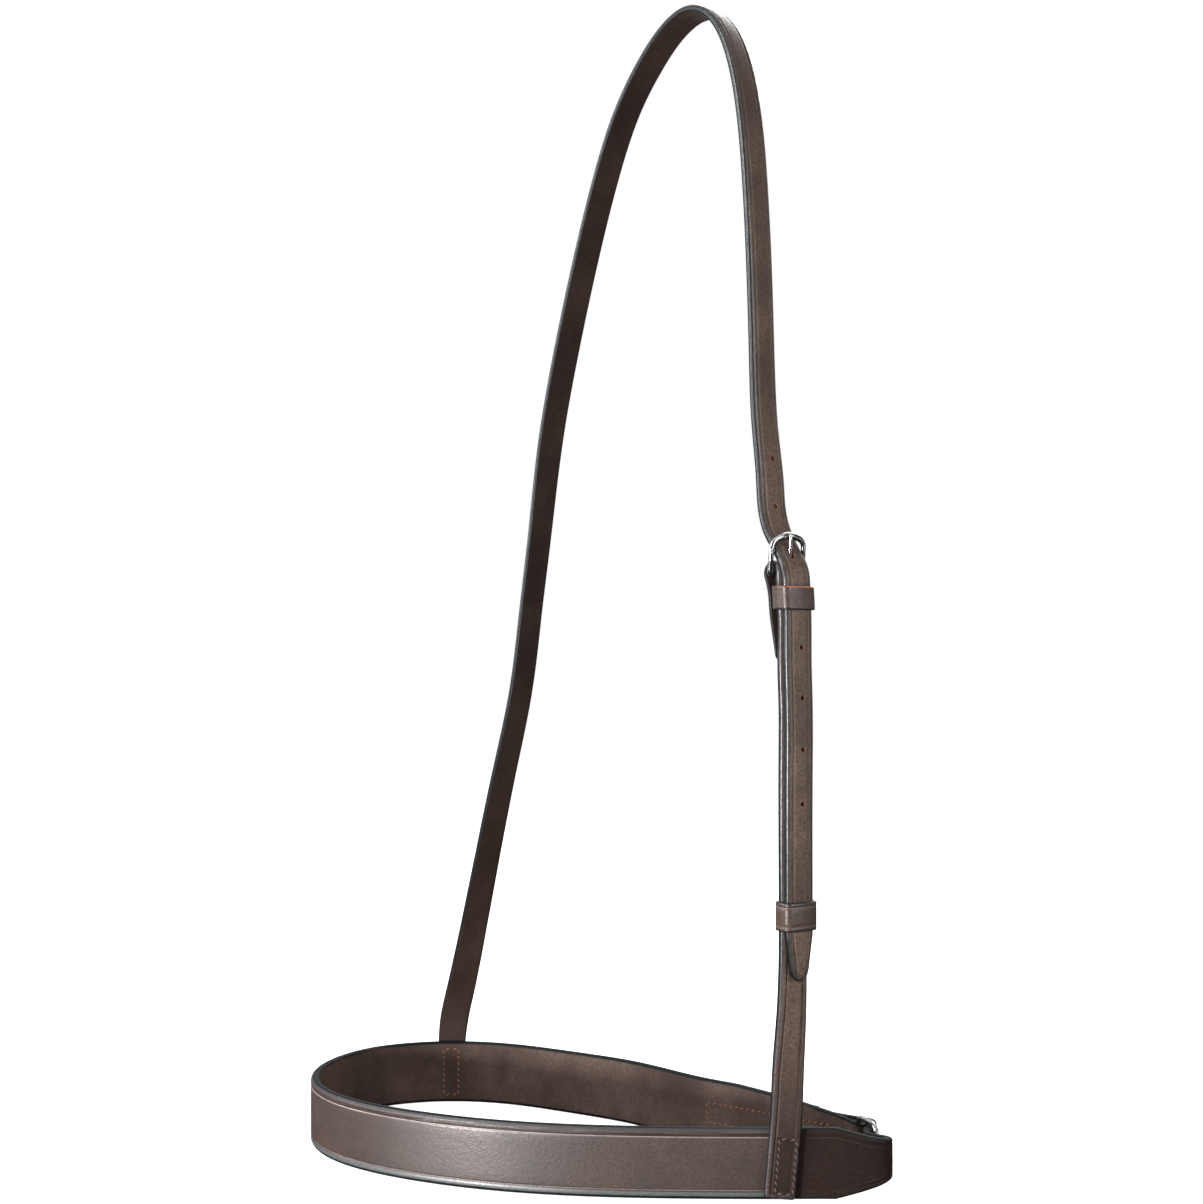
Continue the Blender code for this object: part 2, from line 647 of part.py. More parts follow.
def build_cheek_strap(home, cutters, dressing):
    """Near cheek strap: sewn to the band, folded round the cheek buckle and turned back."""
    stack = stack_matrix()
    cheek = cheek_matrix()
    turn = CHEEK_TURN
    radius = MAIN_IN_CHEEK
    half = STRAP_WIDTH / 2
    foot = STACK_PLACE[2]
    seam_x, seam_y = NEAR_SEAM
    sewn = [(seam_x + (z - SEAM_CENTRE_Z) * math.tan(NEAR_SEAM_LEAN), seam_y, z, NEAR_SEAM_TURN, half, 1.0)
            for z in (LEANING_FOOT, 12 * MM, 24 * MM, 33 * MM)]
    rise = [(89.9 * MM, -86.1 * MM, 58 * MM, math.radians(9), half, 1.0),
            (91.5 * MM, -86.8 * MM, 86 * MM, math.radians(24), half, 1.0)]
    main = [(*placed(stack, z * MM - foot, radius), turn, half, 1.0) for z in (108, 150, 200, 222)]
    main += [(*placed(stack, 240 * MM - foot, radius, HEEL_SHIFT / 3), turn, half, 1.0)]
    main += [(*placed(cheek, along * MM, radius), turn, half, 1.0) for along in (-20, -12, -4, 0)]
    back_radius = radius + FOLD_BULGE
    wrap = [(*placed(cheek, along, out), turn, half, keep) for (along, out), keep in zip(
        loose_fold(radius, back_radius), (1.0, 0.98, 0.95, 0.92, 0.88, 0.85, 0.82))]
    back = [(*placed(cheek, -along * MM, -out * MM), turn, half, keep) for along, out, keep in (
        (0, 6.1, 0.8), (2.5, 5.5, 0.78), (6, 4.4, 0.78), (11, 3.7, 0.8))]
    back += [(*placed(cheek, -along, -turnback_out(along)), turn, half * width, turnback_keep(along))
             for along, width in ((TURNBACK_START, 1.0), (TURNBACK_LENGTH * 0.7, 1.0), (TURNBACK_LENGTH, 0.96))]
    route = stations(sewn + rise + main + wrap + back)
    made = strap("near_cheek_strap", route, strap_sides(route), route[:, 4], STRAP_THICKNESS, home, dressing,
                 skive=route[:, 5], bevel=0.5 * MM)
    slot = box_cutter("cheek_crew_punch", (3.4 * MM, 12 * MM, 20 * MM), (0, 1.0 * MM, -3.0 * MM), cheek, cutters)
    add_cut(made, slot)


def turnback_out(along):
    """How far the turned-back end hangs behind the heel bar, this far below it."""
    share = (along - TURNBACK_START) / (TURNBACK_LENGTH - TURNBACK_START)
    return 3.6 * MM - share * 2.6 * MM


def turnback_keep(along):
    """Share of the leather's thickness that the skived turned-back end keeps."""
    return float(np.interp(along, (TURNBACK_START, TURNBACK_LENGTH * 0.7, TURNBACK_LENGTH), (0.8, 0.7, 0.5)))


def build_keepers(home, dressing):
    """Fixed and sliding keepers of the cheek, and the two sewn keepers of the rear."""
    cheek = cheek_matrix()
    width = STRAP_WIDTH + 2 * REST_GAP
    front = TAIL_IN_CHEEK + STRAP_THICKNESS / 2 + REST_GAP
    fixed = cheek @ Matrix.Translation((0, -FIXED_KEEPER_DROP, 0))
    back = MAIN_IN_CHEEK - STRAP_THICKNESS / 2 - REST_GAP
    keeper("cheek_fixed_keeper", (width, back - FIXED_KEEPER_SLACK, front), FIXED_KEEPER_HEIGHT, fixed, home,
           dressing)
    slide = stack_matrix() @ Matrix.Translation((0, SLIDING_KEEPER_Z - STACK_PLACE[2], 0))
    keeper("cheek_sliding_keeper", (width, back, front), SLIDING_KEEPER_HEIGHT, slide, home, dressing)
    off = off_matrix()
    width = BILLET_WIDTH + 2 * REST_GAP
    low = OFF_FACE + REST_GAP + KEEPER_THICKNESS
    high = BILLET_IN_REAR + BILLET_THICKNESS / 2 + REST_GAP
    for name, back in zip(("rear_keeper_by_buckle", "rear_keeper_by_point"), REAR_KEEPERS):
        place = off @ Matrix.Translation((0, -back, 0))
        keeper(name, (width, low, high), REAR_KEEPER_HEIGHT, place, home, dressing)


def build_seams(home, threads):
    """The four rows of lockstitch, each with a top thread and a bobbin thread."""
    near_out = (math.sin(NEAR_SEAM_TURN), -math.cos(NEAR_SEAM_TURN), 0)
    lean = Matrix.Rotation(-NEAR_SEAM_LEAN, 4, "Z")
    near = local_axes((*NEAR_SEAM, SEAM_CENTRE_Z), (0, 0, 1), near_out) @ lean
    near = near @ Matrix.Translation((NEAR_SEAM_SIDE, 0, 0))
    outer = STRAP_THICKNESS / 2
    inner = -(STRAP_THICKNESS / 2 + REST_GAP + BAND_THICKNESS)
    seam("near_seam", SEAM_BOX, near, (outer, inner), home, threads)
    off = local_axes((*OFF_SEAM, SEAM_CENTRE_Z), (0, 0, 1), (0, 1, 0))
    seam("off_seam", SEAM_BOX, off, (outer, inner - 0.6 * MM), home, threads)
    row = 16 * MM
    middle = 27 * MM
    cheek = cheek_matrix() @ Matrix.Translation((0, -middle, 0))
    clear = THREAD_RADIUS + THREAD_LIFT + STITCH_WAVE
    main_face = BAR_RADIUS + REST_GAP + STRAP_THICKNESS
    stitched_box("cheek_turnback_top_thread", (SEAM_BOX[0], row), cheek, home, threads["top"], main_face + clear)

    def behind_turnback(along):
        below = middle - along
        return -(turnback_out(below) + turnback_keep(below) * STRAP_THICKNESS / 2 + 0.15 * MM + clear)

    stitched_box("cheek_turnback_bobbin_thread", (SEAM_BOX[0], row), cheek, home, threads["bobbin"],
                 behind_turnback)
    rear_middle = REAR_ROW_START + REAR_ROW[1] / 2
    rear = off_matrix() @ Matrix.Translation((0, -rear_middle, 0))

    def over_turnback(along):
        face = TURNBACK_IN_REAR + TURNBACK_THICKNESS / 2 + 0.08 * MM
        closing = (rear_middle - along - 60 * MM) / (16 * MM)
        drop = TURNBACK_IN_REAR - (OFF_FACE + REST_GAP + TURNBACK_THICKNESS / 2)
        return face + clear - drop * min(max(closing, 0.0), 1.0)

    stitched_box("rear_turnback_top_thread", REAR_ROW, rear, home, threads["top"], over_turnback)
    stitched_box("rear_turnback_bobbin_thread", REAR_ROW, rear, home, threads["bobbin"],
                 OFF_FACE - BAND_THICKNESS - clear - 0.1 * MM)


def build():
    """Model the whole noseband."""
    clear_scene()
    home = collection("bridle_noseband")
    cutters = collection("cutters")
    leather = material("havana_leather", (0.085, 0.058, 0.048), 0.45)
    keeper_leather = material("keeper_leather", (0.10, 0.065, 0.052), 0.45)
    steel = material("stainless_steel", (0.62, 0.61, 0.60), 0.2, 1.0)
    threads = {"top": material("cream_brown_thread", (0.30, 0.20, 0.14), 0.7),
               "bobbin": material("rust_brown_thread", (0.26, 0.11, 0.05), 0.7)}
    build_band(home, cutters, leather)
    build_sliphead(home, cutters, leather)
    build_cheek_strap(home, cutters, leather)
    build_keepers(home, keeper_leather)
    buckle("cheek", CHEEK_BUCKLE_WIDTH, cheek_matrix(), home, steel)
    buckle("rear", REAR_BUCKLE_WIDTH, rear_matrix(), home, steel)
    build_seams(home, threads)
    for thing in list(home.objects) + list(cutters.objects):
        if thing.parent is None:
            thing.location -= PLAN_MIDDLE


build()
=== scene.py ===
"""Visual model of a plain bridle noseband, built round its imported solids.

The noseband is one wide band of dark brown bridle leather that buckles behind the jaw, and a
narrow sliphead that goes over the poll and buckles on the near cheek. Each strap is a flat
strip of leather with rounded, burnished edges and a crease pressed beside each edge.

Units are metres, +Z is up, and the near (left) cheek is at -Y.
"""
from __future__ import annotations

import logging
import math
from dataclasses import dataclass, field, replace
from enum import Enum
from typing import Callable, ClassVar, Sequence

import bpy
import numpy as np
from mathutils import Matrix, Vector

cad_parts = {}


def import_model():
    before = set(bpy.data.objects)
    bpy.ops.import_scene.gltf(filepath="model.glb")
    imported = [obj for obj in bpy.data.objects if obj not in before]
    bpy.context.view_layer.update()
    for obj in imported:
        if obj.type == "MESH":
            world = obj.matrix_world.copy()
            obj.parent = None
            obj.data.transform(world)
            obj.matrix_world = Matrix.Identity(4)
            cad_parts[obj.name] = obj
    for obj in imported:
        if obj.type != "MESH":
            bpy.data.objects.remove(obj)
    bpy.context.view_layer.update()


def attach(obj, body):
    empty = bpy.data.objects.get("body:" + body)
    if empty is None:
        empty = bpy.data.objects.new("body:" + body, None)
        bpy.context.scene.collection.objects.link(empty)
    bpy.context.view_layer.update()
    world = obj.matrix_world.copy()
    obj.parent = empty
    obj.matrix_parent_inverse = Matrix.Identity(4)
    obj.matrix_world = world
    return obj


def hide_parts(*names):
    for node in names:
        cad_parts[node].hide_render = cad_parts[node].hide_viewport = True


LOG = logging.getLogger("noseband")
MM = 0.001
DEGREE = math.radians(1)

# Rounding of a strap's cut ends, and how much beside its edges stays unpressed
END_ROUND = 0.9 * MM
FLAT_MARGIN = 2.0 * MM

# Step at which a strap's spline is sampled, and the closer step of its stations at a seam
SAMPLE_STEP = 0.12 * MM
SEAM_STEP = 0.8 * MM

# Width and length of the slot in a folded end that a tongue comes through, and the lifts in degrees
# at which a tongue's hole is punched, so that the tongue can move in it
TONGUE_SLOT = (3.4 * MM, 12 * MM)
TONGUE_LIFTS = (0, 4, 8)

# Middle of the noseband's box in plan, in the frame that the routes below are drawn in
PLAN_MIDDLE = np.array([-0.10, -2.77, 0.0]) * MM

Array = np.ndarray
Colour = tuple[float, float, float]
Place = tuple[float, float, float]
Row = tuple[float, float, float]
Press = Callable[[Array, Array], Array]
Lift = float | Callable[[float], float]
Socket = bpy.types.NodeSocket
Piece = bpy.types.Object
Material = bpy.types.Material


class Side(Enum):
    """Face of a strap that a row of stitches shows on."""

    OUTER = "top"
    INNER = "bobbin"


# Sizes that more than one part shares


@dataclass(frozen=True)
class Gauge:
    """Leather and buckle sizes of the whole noseband, in metres."""

    band_height: float = 32 * MM
    band_thickness: float = 4.0 * MM
    strap_width: float = 14.5 * MM
    leg_width: float = 15.2 * MM
    strap_thickness: float = 3.4 * MM
    billet_width: float = 16.0 * MM
    billet_thickness: float = 3.4 * MM
    turnback_width: float = 14.0 * MM
    turnback_thickness: float = 2.2 * MM
    keeper_thickness: float = 1.3 * MM
    rest_gap: float = 0.3 * MM
    layer_gap: float = 1.1 * MM
    bar_radius: float = 1.2 * MM
    cheek_turn: float = math.radians(31)
    cheek_lean: float = math.radians(3.5)
    stack_place: Place = (90.35 * MM, -84.1 * MM, 280.5 * MM)
    heel_shift: float = -1.8 * MM
    rear_heel: Place = (127.5 * MM, -40.5 * MM, 16.0 * MM)
    off_heading: float = math.radians(-36.9)
    frame_heading: float = math.radians(-78)
    near_seam: tuple[float, float] = (87.3 * MM, -85.5 * MM)
    near_seam_lean: float = math.radians(5)
    near_seam_turn: float = math.radians(1.5)
    near_seam_side: float = 1.6 * MM
    off_seam: tuple[float, float] = (-74.1 * MM, 90.0 * MM)
    seam_box: tuple[float, float] = (7.8 * MM, 24.5 * MM)
    seam_centre_z: float = 16 * MM

    @property
    def near_spot(self) -> Place:
        """Middle of the seam on the near side."""
        return (*self.near_seam, self.seam_centre_z)

    @property
    def off_spot(self) -> Place:
        """Middle of the seam on the off side."""
        return (*self.off_seam, self.seam_centre_z)

    @property
    def seam_out(self) -> float:
        """Height of a seam's outer stitches over the middle of the strap that it holds."""
        return self.strap_thickness / 2 - 0.12 * MM

    @property
    def seam_in(self) -> float:
        """Height of a seam's inner stitches, at the far face of the band."""
        return -(self.strap_thickness / 2 + self.rest_gap + self.band_thickness)

    @property
    def main_out(self) -> float:
        """Height of the cheek strap's middle over the cheek heel bar."""
        return self.bar_radius + self.rest_gap + self.strap_thickness / 2

    @property
    def tail_out(self) -> float:
        """Height of the sliphead's tail over the cheek heel bar."""
        return self.main_out + self.strap_thickness + self.layer_gap

    @property
    def off_face(self) -> float:
        """Height of the band's off end, at its outer face, over the rear heel bar."""
        return -self.bar_radius - self.rest_gap

    @property
    def closed_out(self) -> float:
        """Height of the turned-back end's middle where it lies close on the band."""
        return self.off_face + self.rest_gap + self.turnback_thickness / 2

    @property
    def turnback_out(self) -> float:
        """Height of the middle of the band's turned-back end over the rear heel bar."""
        return self.off_face + self.keeper_thickness + 2 * self.rest_gap + self.turnback_thickness / 2

    @property
    def billet_out(self) -> float:
        """Height of the middle of the billet over the rear heel bar."""
        return self.turnback_out + self.turnback_thickness / 2 + self.layer_gap + self.billet_thickness / 2


GAUGE = Gauge()


def local_axes(origin: Sequence[float], along: Sequence[float], out: Sequence[float]) -> Matrix:
    """Frame whose X is a strap's width, Y runs along it and Z points out of its face.

    Args:
        origin: place of the frame.
        along: direction of the strap.
        out: direction out of its outer face.

    Returns:
        The frame as a 4x4 matrix.
    """
    y_axis = Vector(along).normalized()
    z_axis = Vector(out).normalized()
    turn = Matrix((y_axis.cross(z_axis), y_axis, z_axis)).transposed().to_4x4()
    return Matrix.Translation(Vector(origin)) @ turn


def heading_axes(heading: float) -> Matrix:
    """Frame on the rear heel bar whose Y points to a heading in plan."""
    along = (math.cos(heading), math.sin(heading), 0.0)
    return local_axes(GAUGE.rear_heel, along, (-along[1], along[0], 0.0))


STACK = local_axes(GAUGE.stack_place, (0, 0, 1), (math.sin(GAUGE.cheek_turn), -math.cos(GAUGE.cheek_turn), 0))
CHEEK = STACK @ Matrix.Translation((GAUGE.heel_shift, 0, 0)) @ Matrix.Rotation(GAUGE.cheek_lean, 4, "Z")
OFF = heading_axes(GAUGE.off_heading)
REAR = heading_axes(GAUGE.frame_heading)


def placed(frame: Matrix, along: float, out: float, side: float = 0.0) -> Place:
    """World place of a point of a local frame, all in millimetres."""
    point = frame @ Vector((side * MM, along * MM, out * MM))
    return tuple(value / MM for value in point)


def moved(frame: Matrix, points: Array) -> Array:
    """World places of the points of a local frame."""
    return points @ np.array(frame.to_3x3()).T + np.array(frame.translation)


def in_metres(rows: Sequence[Sequence[float]], *scales: float) -> Array:
    """Control points as a table.

    Args:
        rows: one row per point: its place in millimetres, and then its sizes and turns.
        scales: what each of these sizes and turns is multiplied by.

    Returns:
        The table, in metres and radians.
    """
    return np.array(rows, float) * np.array([MM, MM, MM, *scales])


# Lines and strips


class SmoothLine:
    """Natural cubic spline through a strap's control points."""

    def __init__(self, control: Array) -> None:
        """Solve the spline.

        Args:
            control: one row per point: its place, and then values that follow linearly.
        """
        self.control = np.asarray(control, float)
        points = self.control[:, :3]
        self.knots = np.concatenate(([0.0], np.cumsum(np.linalg.norm(np.diff(points, axis=0), axis=1))))
        count = len(points)
        system = np.eye(count)
        right = np.zeros((count, 3))
        for i in range(1, count - 1):
            before, after = np.diff(self.knots[i - 1:i + 2])
            system[i, i - 1:i + 2] = before, 2 * (before + after), after
            right[i] = 6 * ((points[i + 1] - points[i]) / after - (points[i] - points[i - 1]) / before)
        self.bends = np.linalg.solve(system, right)

    def at(self, distances: Array) -> Array:
        """Places at these distances along the chords."""
        i = np.clip(np.searchsorted(self.knots, distances) - 1, 0, len(self.knots) - 2)
        span = (self.knots[i + 1] - self.knots[i])[:, None]
        a = (self.knots[i + 1] - distances)[:, None] / span
        b = 1 - a
        points = self.control[:, :3]
        curve = ((a ** 3 - a) * self.bends[i] + (b ** 3 - b) * self.bends[i + 1]) * span ** 2 / 6
        return a * points[i] + b * points[i + 1] + curve

    def columns(self, distances: Array) -> Array:
        """Values after the place, read linearly between the control points."""
        extras = [np.interp(distances, self.knots, column) for column in self.control[:, 3:].T]
        return np.column_stack(extras)


@dataclass
class Strip:
    """A strap's middle surface: a run of stations with their directions and sizes, in metres."""

    places: Array
    sides: Array
    halves: Array
    thicknesses: Array

    def __post_init__(self) -> None:
        """Work out the directions along and out, and the distance along."""
        tangents = np.gradient(self.places, axis=0)
        self.alongs = tangents / np.linalg.norm(tangents, axis=1)[:, None]
        sides = self.sides - np.sum(self.sides * self.alongs, axis=1)[:, None] * self.alongs
        self.sides = sides / np.linalg.norm(sides, axis=1)[:, None]
        self.outs = np.cross(self.sides, self.alongs)
        steps = np.linalg.norm(np.diff(self.places, axis=0), axis=1)
        self.distances = np.concatenate(([0.0], np.cumsum(steps)))

    def rings(self, across: Array, lift: Array) -> Array:
        """Places of every station's points, from their distance across and height over its middle."""
        return (self.places[:, None, :] + across[..., None] * self.sides[:, None, :]
                + lift[..., None] * self.outs[:, None, :])

    def nearest(self, point: Sequence[float]) -> float:
        """Distance along at which the strip passes a point."""
        gaps = np.linalg.norm(self.places - np.asarray(point), axis=1)
        return float(self.distances[int(np.argmin(gaps))])


def pick_stations(line: SmoothLine, run: float, turn: float, radius: float, seams: Sequence[Place]) -> Array:
    """Distances of a strip's stations, closer where it bends and at its seams.

    Args:
        line: the strap's spline.
        run: longest step between stations.
        turn: largest bend between stations, in radians.
        radius: how far round a seam the stations are closer.
        seams: middles of the seams.

    Returns:
        The distances along the chords.
    """
    steps = np.linspace(0, line.knots[-1], int(line.knots[-1] / SAMPLE_STEP) + 2)
    places = line.at(steps)
    chords = np.diff(places, axis=0)
    lengths = np.linalg.norm(chords, axis=1)
    headings = chords / lengths[:, None]
    bends = np.arccos(np.clip(np.sum(headings[1:] * headings[:-1], axis=1), -1, 1))
    limits = np.full(len(steps), run)
    for centre in seams:
        limits[np.linalg.norm(places - np.asarray(centre), axis=1) < radius] = SEAM_STEP
    kept = [0]
    bent = went = 0.0
    for i in range(1, len(steps) - 1):
        bent += bends[i - 1]
        went += lengths[i - 1]
        if bent > turn or went > limits[i]:
            kept.append(i)
            bent = went = 0.0
    kept.append(len(steps) - 1)
    return steps[kept]


# Making meshes


def deselect() -> None:
    """Leave edit mode and select nothing."""
    if bpy.context.object and bpy.context.object.mode != "OBJECT":
        bpy.ops.object.mode_set(mode="OBJECT")
    bpy.ops.object.select_all(action="DESELECT")


def active(piece: Piece) -> None:
    """Make one object the only selected and active one."""
    deselect()
    piece.select_set(True)
    bpy.context.view_layer.objects.active = piece


def finish_modifier(piece: Piece, name: str) -> None:
    """Apply one modifier."""
    active(piece)
    bpy.ops.object.modifier_apply(modifier=name)


def set_places(piece: Piece, places: Array) -> None:
    """Move every vertex, and leave the object at the origin."""
    piece.matrix_world = Matrix.Identity(4)
    piece.data.vertices.foreach_set("co", np.ascontiguousarray(places, np.float32).ravel())
    piece.data.update()


def set_corners(piece: Piece, name: str, values: Array) -> None:
    """Give each face corner the two values of its vertex, as a UV map."""
    data = piece.data
    layer = data.uv_layers.get(name) or data.uv_layers.new(name=name)
    owners = np.empty(len(data.loops), np.int32)
    data.loops.foreach_get("vertex_index", owners)
    layer.data.foreach_set("uv", np.ascontiguousarray(values[owners], np.float32).ravel())


def face_outwards(close: bool = False) -> None:
    """Turn the active piece's faces outwards.

    Args:
        close: whether its doubled vertices are merged and its open ends capped first.
    """
    bpy.ops.object.mode_set(mode="EDIT")
    bpy.ops.mesh.select_all(action="SELECT")
    if close:
        bpy.ops.mesh.remove_doubles(threshold=0.004 * MM)
        bpy.ops.mesh.select_all(action="SELECT")
        bpy.ops.mesh.fill_holes(sides=0)
        bpy.ops.mesh.select_all(action="SELECT")
    bpy.ops.mesh.normals_make_consistent(inside=False)
    bpy.ops.object.mode_set(mode="OBJECT")


def close_and_smooth(piece: Piece, angle: float) -> None:
    """Merge doubled vertices, cap open ends, face everything outwards and smooth it.

    Args:
        piece: the object.
        angle: edges that bend by more than this stay sharp, in degrees.
    """
    active(piece)
    face_outwards(close=True)
    bpy.ops.object.shade_smooth_by_angle(angle=math.radians(angle))


def swept(name: str, rings: Array, along: Array, relief: Array, angle: float = 50) -> Piece:
    """Solid with open ends closed, made from a flat grid that is rolled into rings.

    Args:
        name: name of the piece.
        rings: places as (stations, points round, 3).
        along: distance along and round, for each point, in metres.
        relief: distance from the strap's edge in millimetres, and the share of the inner face.
        angle: edges sharper than this stay sharp.

    Returns:
        The piece.
    """
    stations, points = rings.shape[:2]
    deselect()
    bpy.ops.mesh.primitive_grid_add(x_subdivisions=points, y_subdivisions=stations - 1, size=1.0)
    piece = bpy.context.object
    piece.name = piece.data.name = name
    flat = np.empty(len(piece.data.vertices) * 3)
    piece.data.vertices.foreach_get("co", flat)
    flat = flat.reshape(-1, 3)
    column = np.rint((flat[:, 0] + 0.5) * points).astype(int) % points
    wrapped = np.rint((flat[:, 0] + 0.5) * points).astype(int) == points
    row = np.rint((flat[:, 1] + 0.5) * (stations - 1)).astype(int)
    round_end = along[row, column]
    round_end[wrapped, 1] = along[:, :, 1].max() + 1 * MM
    set_corners(piece, "along", round_end)
    set_corners(piece, "relief", relief[row, column])
    set_places(piece, rings[row, column] - PLAN_MIDDLE)
    close_and_smooth(piece, angle)
    return piece


def looped(name: str, rings: Array, relief: Array, angle: float = 50) -> Piece:
    """Endless ring, made from a torus whose rings are moved to their places.

    Args:
        name: name of the piece.
        rings: places as (stations, points round, 3).
        relief: two values for each point, as in swept.
        angle: edges sharper than this stay sharp.

    Returns:
        The piece.
    """
    stations, points = rings.shape[:2]
    deselect()
    bpy.ops.mesh.primitive_torus_add(major_segments=stations, minor_segments=points, generate_uvs=False)
    piece = bpy.context.object
    piece.name = piece.data.name = name
    set_places(piece, rings.reshape(-1, 3) - PLAN_MIDDLE)
    set_corners(piece, "relief", relief.reshape(-1, 2))
    close_and_smooth(piece, angle)
    return piece


@dataclass(frozen=True)
class StrapSection:
    """Outline of a leather strap across its width: flat faces, round edges and two creases.

    Each row of pressed is a point across a crease: its millimetres from the middle of the crease, and
    its share of the depth.
    """

    nominal_half: float
    crease: float = 3.1 * MM
    crease_depth: float = 0.28 * MM
    corner: float = 2.2 * MM
    drop: float = 1.4 * MM
    inner_corner: float = 0.85 * MM
    inner_margin: float = 2.2 * MM
    inner_rise: float = 0.9 * MM
    full_thickness: float = 3.0 * MM
    crown: float = 0.0
    pressed: ClassVar[tuple[tuple[float, float], ...]] = (
        (-0.6, 0.06), (-0.36, 0.4), (-0.12, 1.0), (0.12, 0.95), (0.36, 0.45), (0.62, 0.1), (1.1, 0.0))

    def points(self, halves: Array, thicknesses: Array) -> tuple[Array, Array, Array]:
        """Section of every station.

        Args:
            halves: half widths.
            thicknesses: leather thicknesses.

        Returns:
            Place across, height over the middle, and distance from the nearest edge, each as
            (stations, points round).
        """
        scale = np.minimum(1.0, halves / self.nominal_half)[:, None]
        half = halves[:, None]
        thick = thicknesses[:, None]
        steps, shares = np.array(self.pressed).T
        left = half - np.append(self.corner, self.crease + steps * MM) * scale
        middle = left[:, -1:] * np.array([0.66, 0.33, 0.0, -0.33, -0.66])
        outer_across = np.concatenate([left, middle, -left[:, ::-1]], axis=1)
        depths = np.append(0.0, shares) * self.crease_depth
        sunk = np.concatenate([depths, np.zeros(middle.shape[1]), depths[::-1]])
        bow = self.crown * (1 - (outer_across / half) ** 2)
        shelf = thick / 2 - self.crown
        outer_lift = shelf - sunk * np.minimum(1.0, thick / self.full_thickness) + bow
        rise = np.minimum(self.drop, thick * 0.45)
        fall = np.minimum(self.inner_rise, thick * 0.34)
        edge = [(half - self.corner * scale * (1 - math.cos(a)), shelf - rise * (1 - math.sin(a)))
                for a in np.radians([78, 66, 54, 41, 27, 13])]
        edge.append((half + 0 * thick, shelf - rise - 0.1 * thick))
        edge += [(half - self.inner_corner * scale * (1 - math.cos(a)), fall * (1 - math.sin(a)) - thick / 2)
                 for a in np.radians([22, 45, 68])]
        right_across = np.concatenate([-across for across, _ in edge], axis=1)
        right_lift = np.concatenate([lift for _, lift in edge], axis=1)
        inner_left = half - np.array([self.inner_corner, self.inner_margin]) * scale
        inner_across = np.concatenate([-inner_left, -inner_left[:, -1:] * np.array([0.5, 0.0, -0.5]),
                                       inner_left[:, ::-1]], axis=1)
        inner_lift = np.broadcast_to(-thick / 2, inner_across.shape)
        across = np.concatenate([outer_across, right_across, inner_across, -right_across[:, ::-1]], axis=1)
        lift = np.concatenate([outer_lift, right_lift, inner_lift, right_lift[:, ::-1]], axis=1)
        return across, lift, half - np.abs(across)


def strap_piece(name: str, strip: Strip, section: StrapSection, press: Press | None = None) -> Piece:
    """Leather strap swept along its strip, with both ends rounded.

    Args:
        name: name of the piece.
        strip: where it lies.
        section: its outline across.
        press: gives how far the outer and inner faces are pressed in at a distance along and across.

    Returns:
        The piece.
    """
    across, lift, from_edge = section.points(strip.halves, strip.thicknesses)
    ends = np.minimum(strip.distances, strip.distances[-1] - strip.distances)
    bite = np.clip(1 - ends / END_ROUND, 0, 1)
    inset = END_ROUND * (1 - np.sqrt(np.clip(1 - bite ** 2, 0, 1)))
    across = across * (1 - inset / strip.halves)[:, None]
    lift = lift * (1 - np.minimum(inset / (strip.thicknesses / 2), 0.9))[:, None]
    if press is not None:
        grid = np.broadcast_to(strip.distances[:, None], across.shape)
        lift = lift - np.sign(lift) * press(grid, across) * (from_edge > FLAT_MARGIN)
    rings = strip.rings(across, lift)
    steps = np.linalg.norm(np.diff(np.stack([across, lift], axis=-1), axis=1), axis=-1)
    round_way = np.concatenate([np.zeros((len(across), 1)), np.cumsum(steps, axis=1)], axis=1)
    along = np.stack([np.broadcast_to(strip.distances[:, None], across.shape), round_way], axis=-1)
    inner = np.clip(0.5 - lift / strip.thicknesses[:, None], 0, 1)
    offset = np.minimum(from_edge, ends[:, None]) / MM
    return swept(name, rings, along, np.stack([offset, inner], axis=-1))


def tube_piece(name: str, places: Array, side: Sequence[float], radii: Array, flats: Array,
               round_points: int = 20) -> Piece:
    """Rod of changing thickness along a line that lies in one plane.

    Args:
        name: name of the piece.
        places: its centre line.
        side: direction square to the plane.
        radii: half thickness in the plane at each place.
        flats: half thickness along side at each place.
        round_points: points round it.

    Returns:
        The piece.
    """
    strip = Strip(places, np.tile(np.asarray(side, float), (len(places), 1)), radii, radii)
    angles = np.linspace(0, 2 * math.pi, round_points, endpoint=False)
    rings = strip.rings(flats[:, None] * np.cos(angles), radii[:, None] * np.sin(angles))
    grid = np.stack(np.broadcast_arrays(strip.distances[:, None], angles * MM), axis=-1)
    return swept(name, rings, grid, np.zeros_like(grid), angle=60)


# Finishes


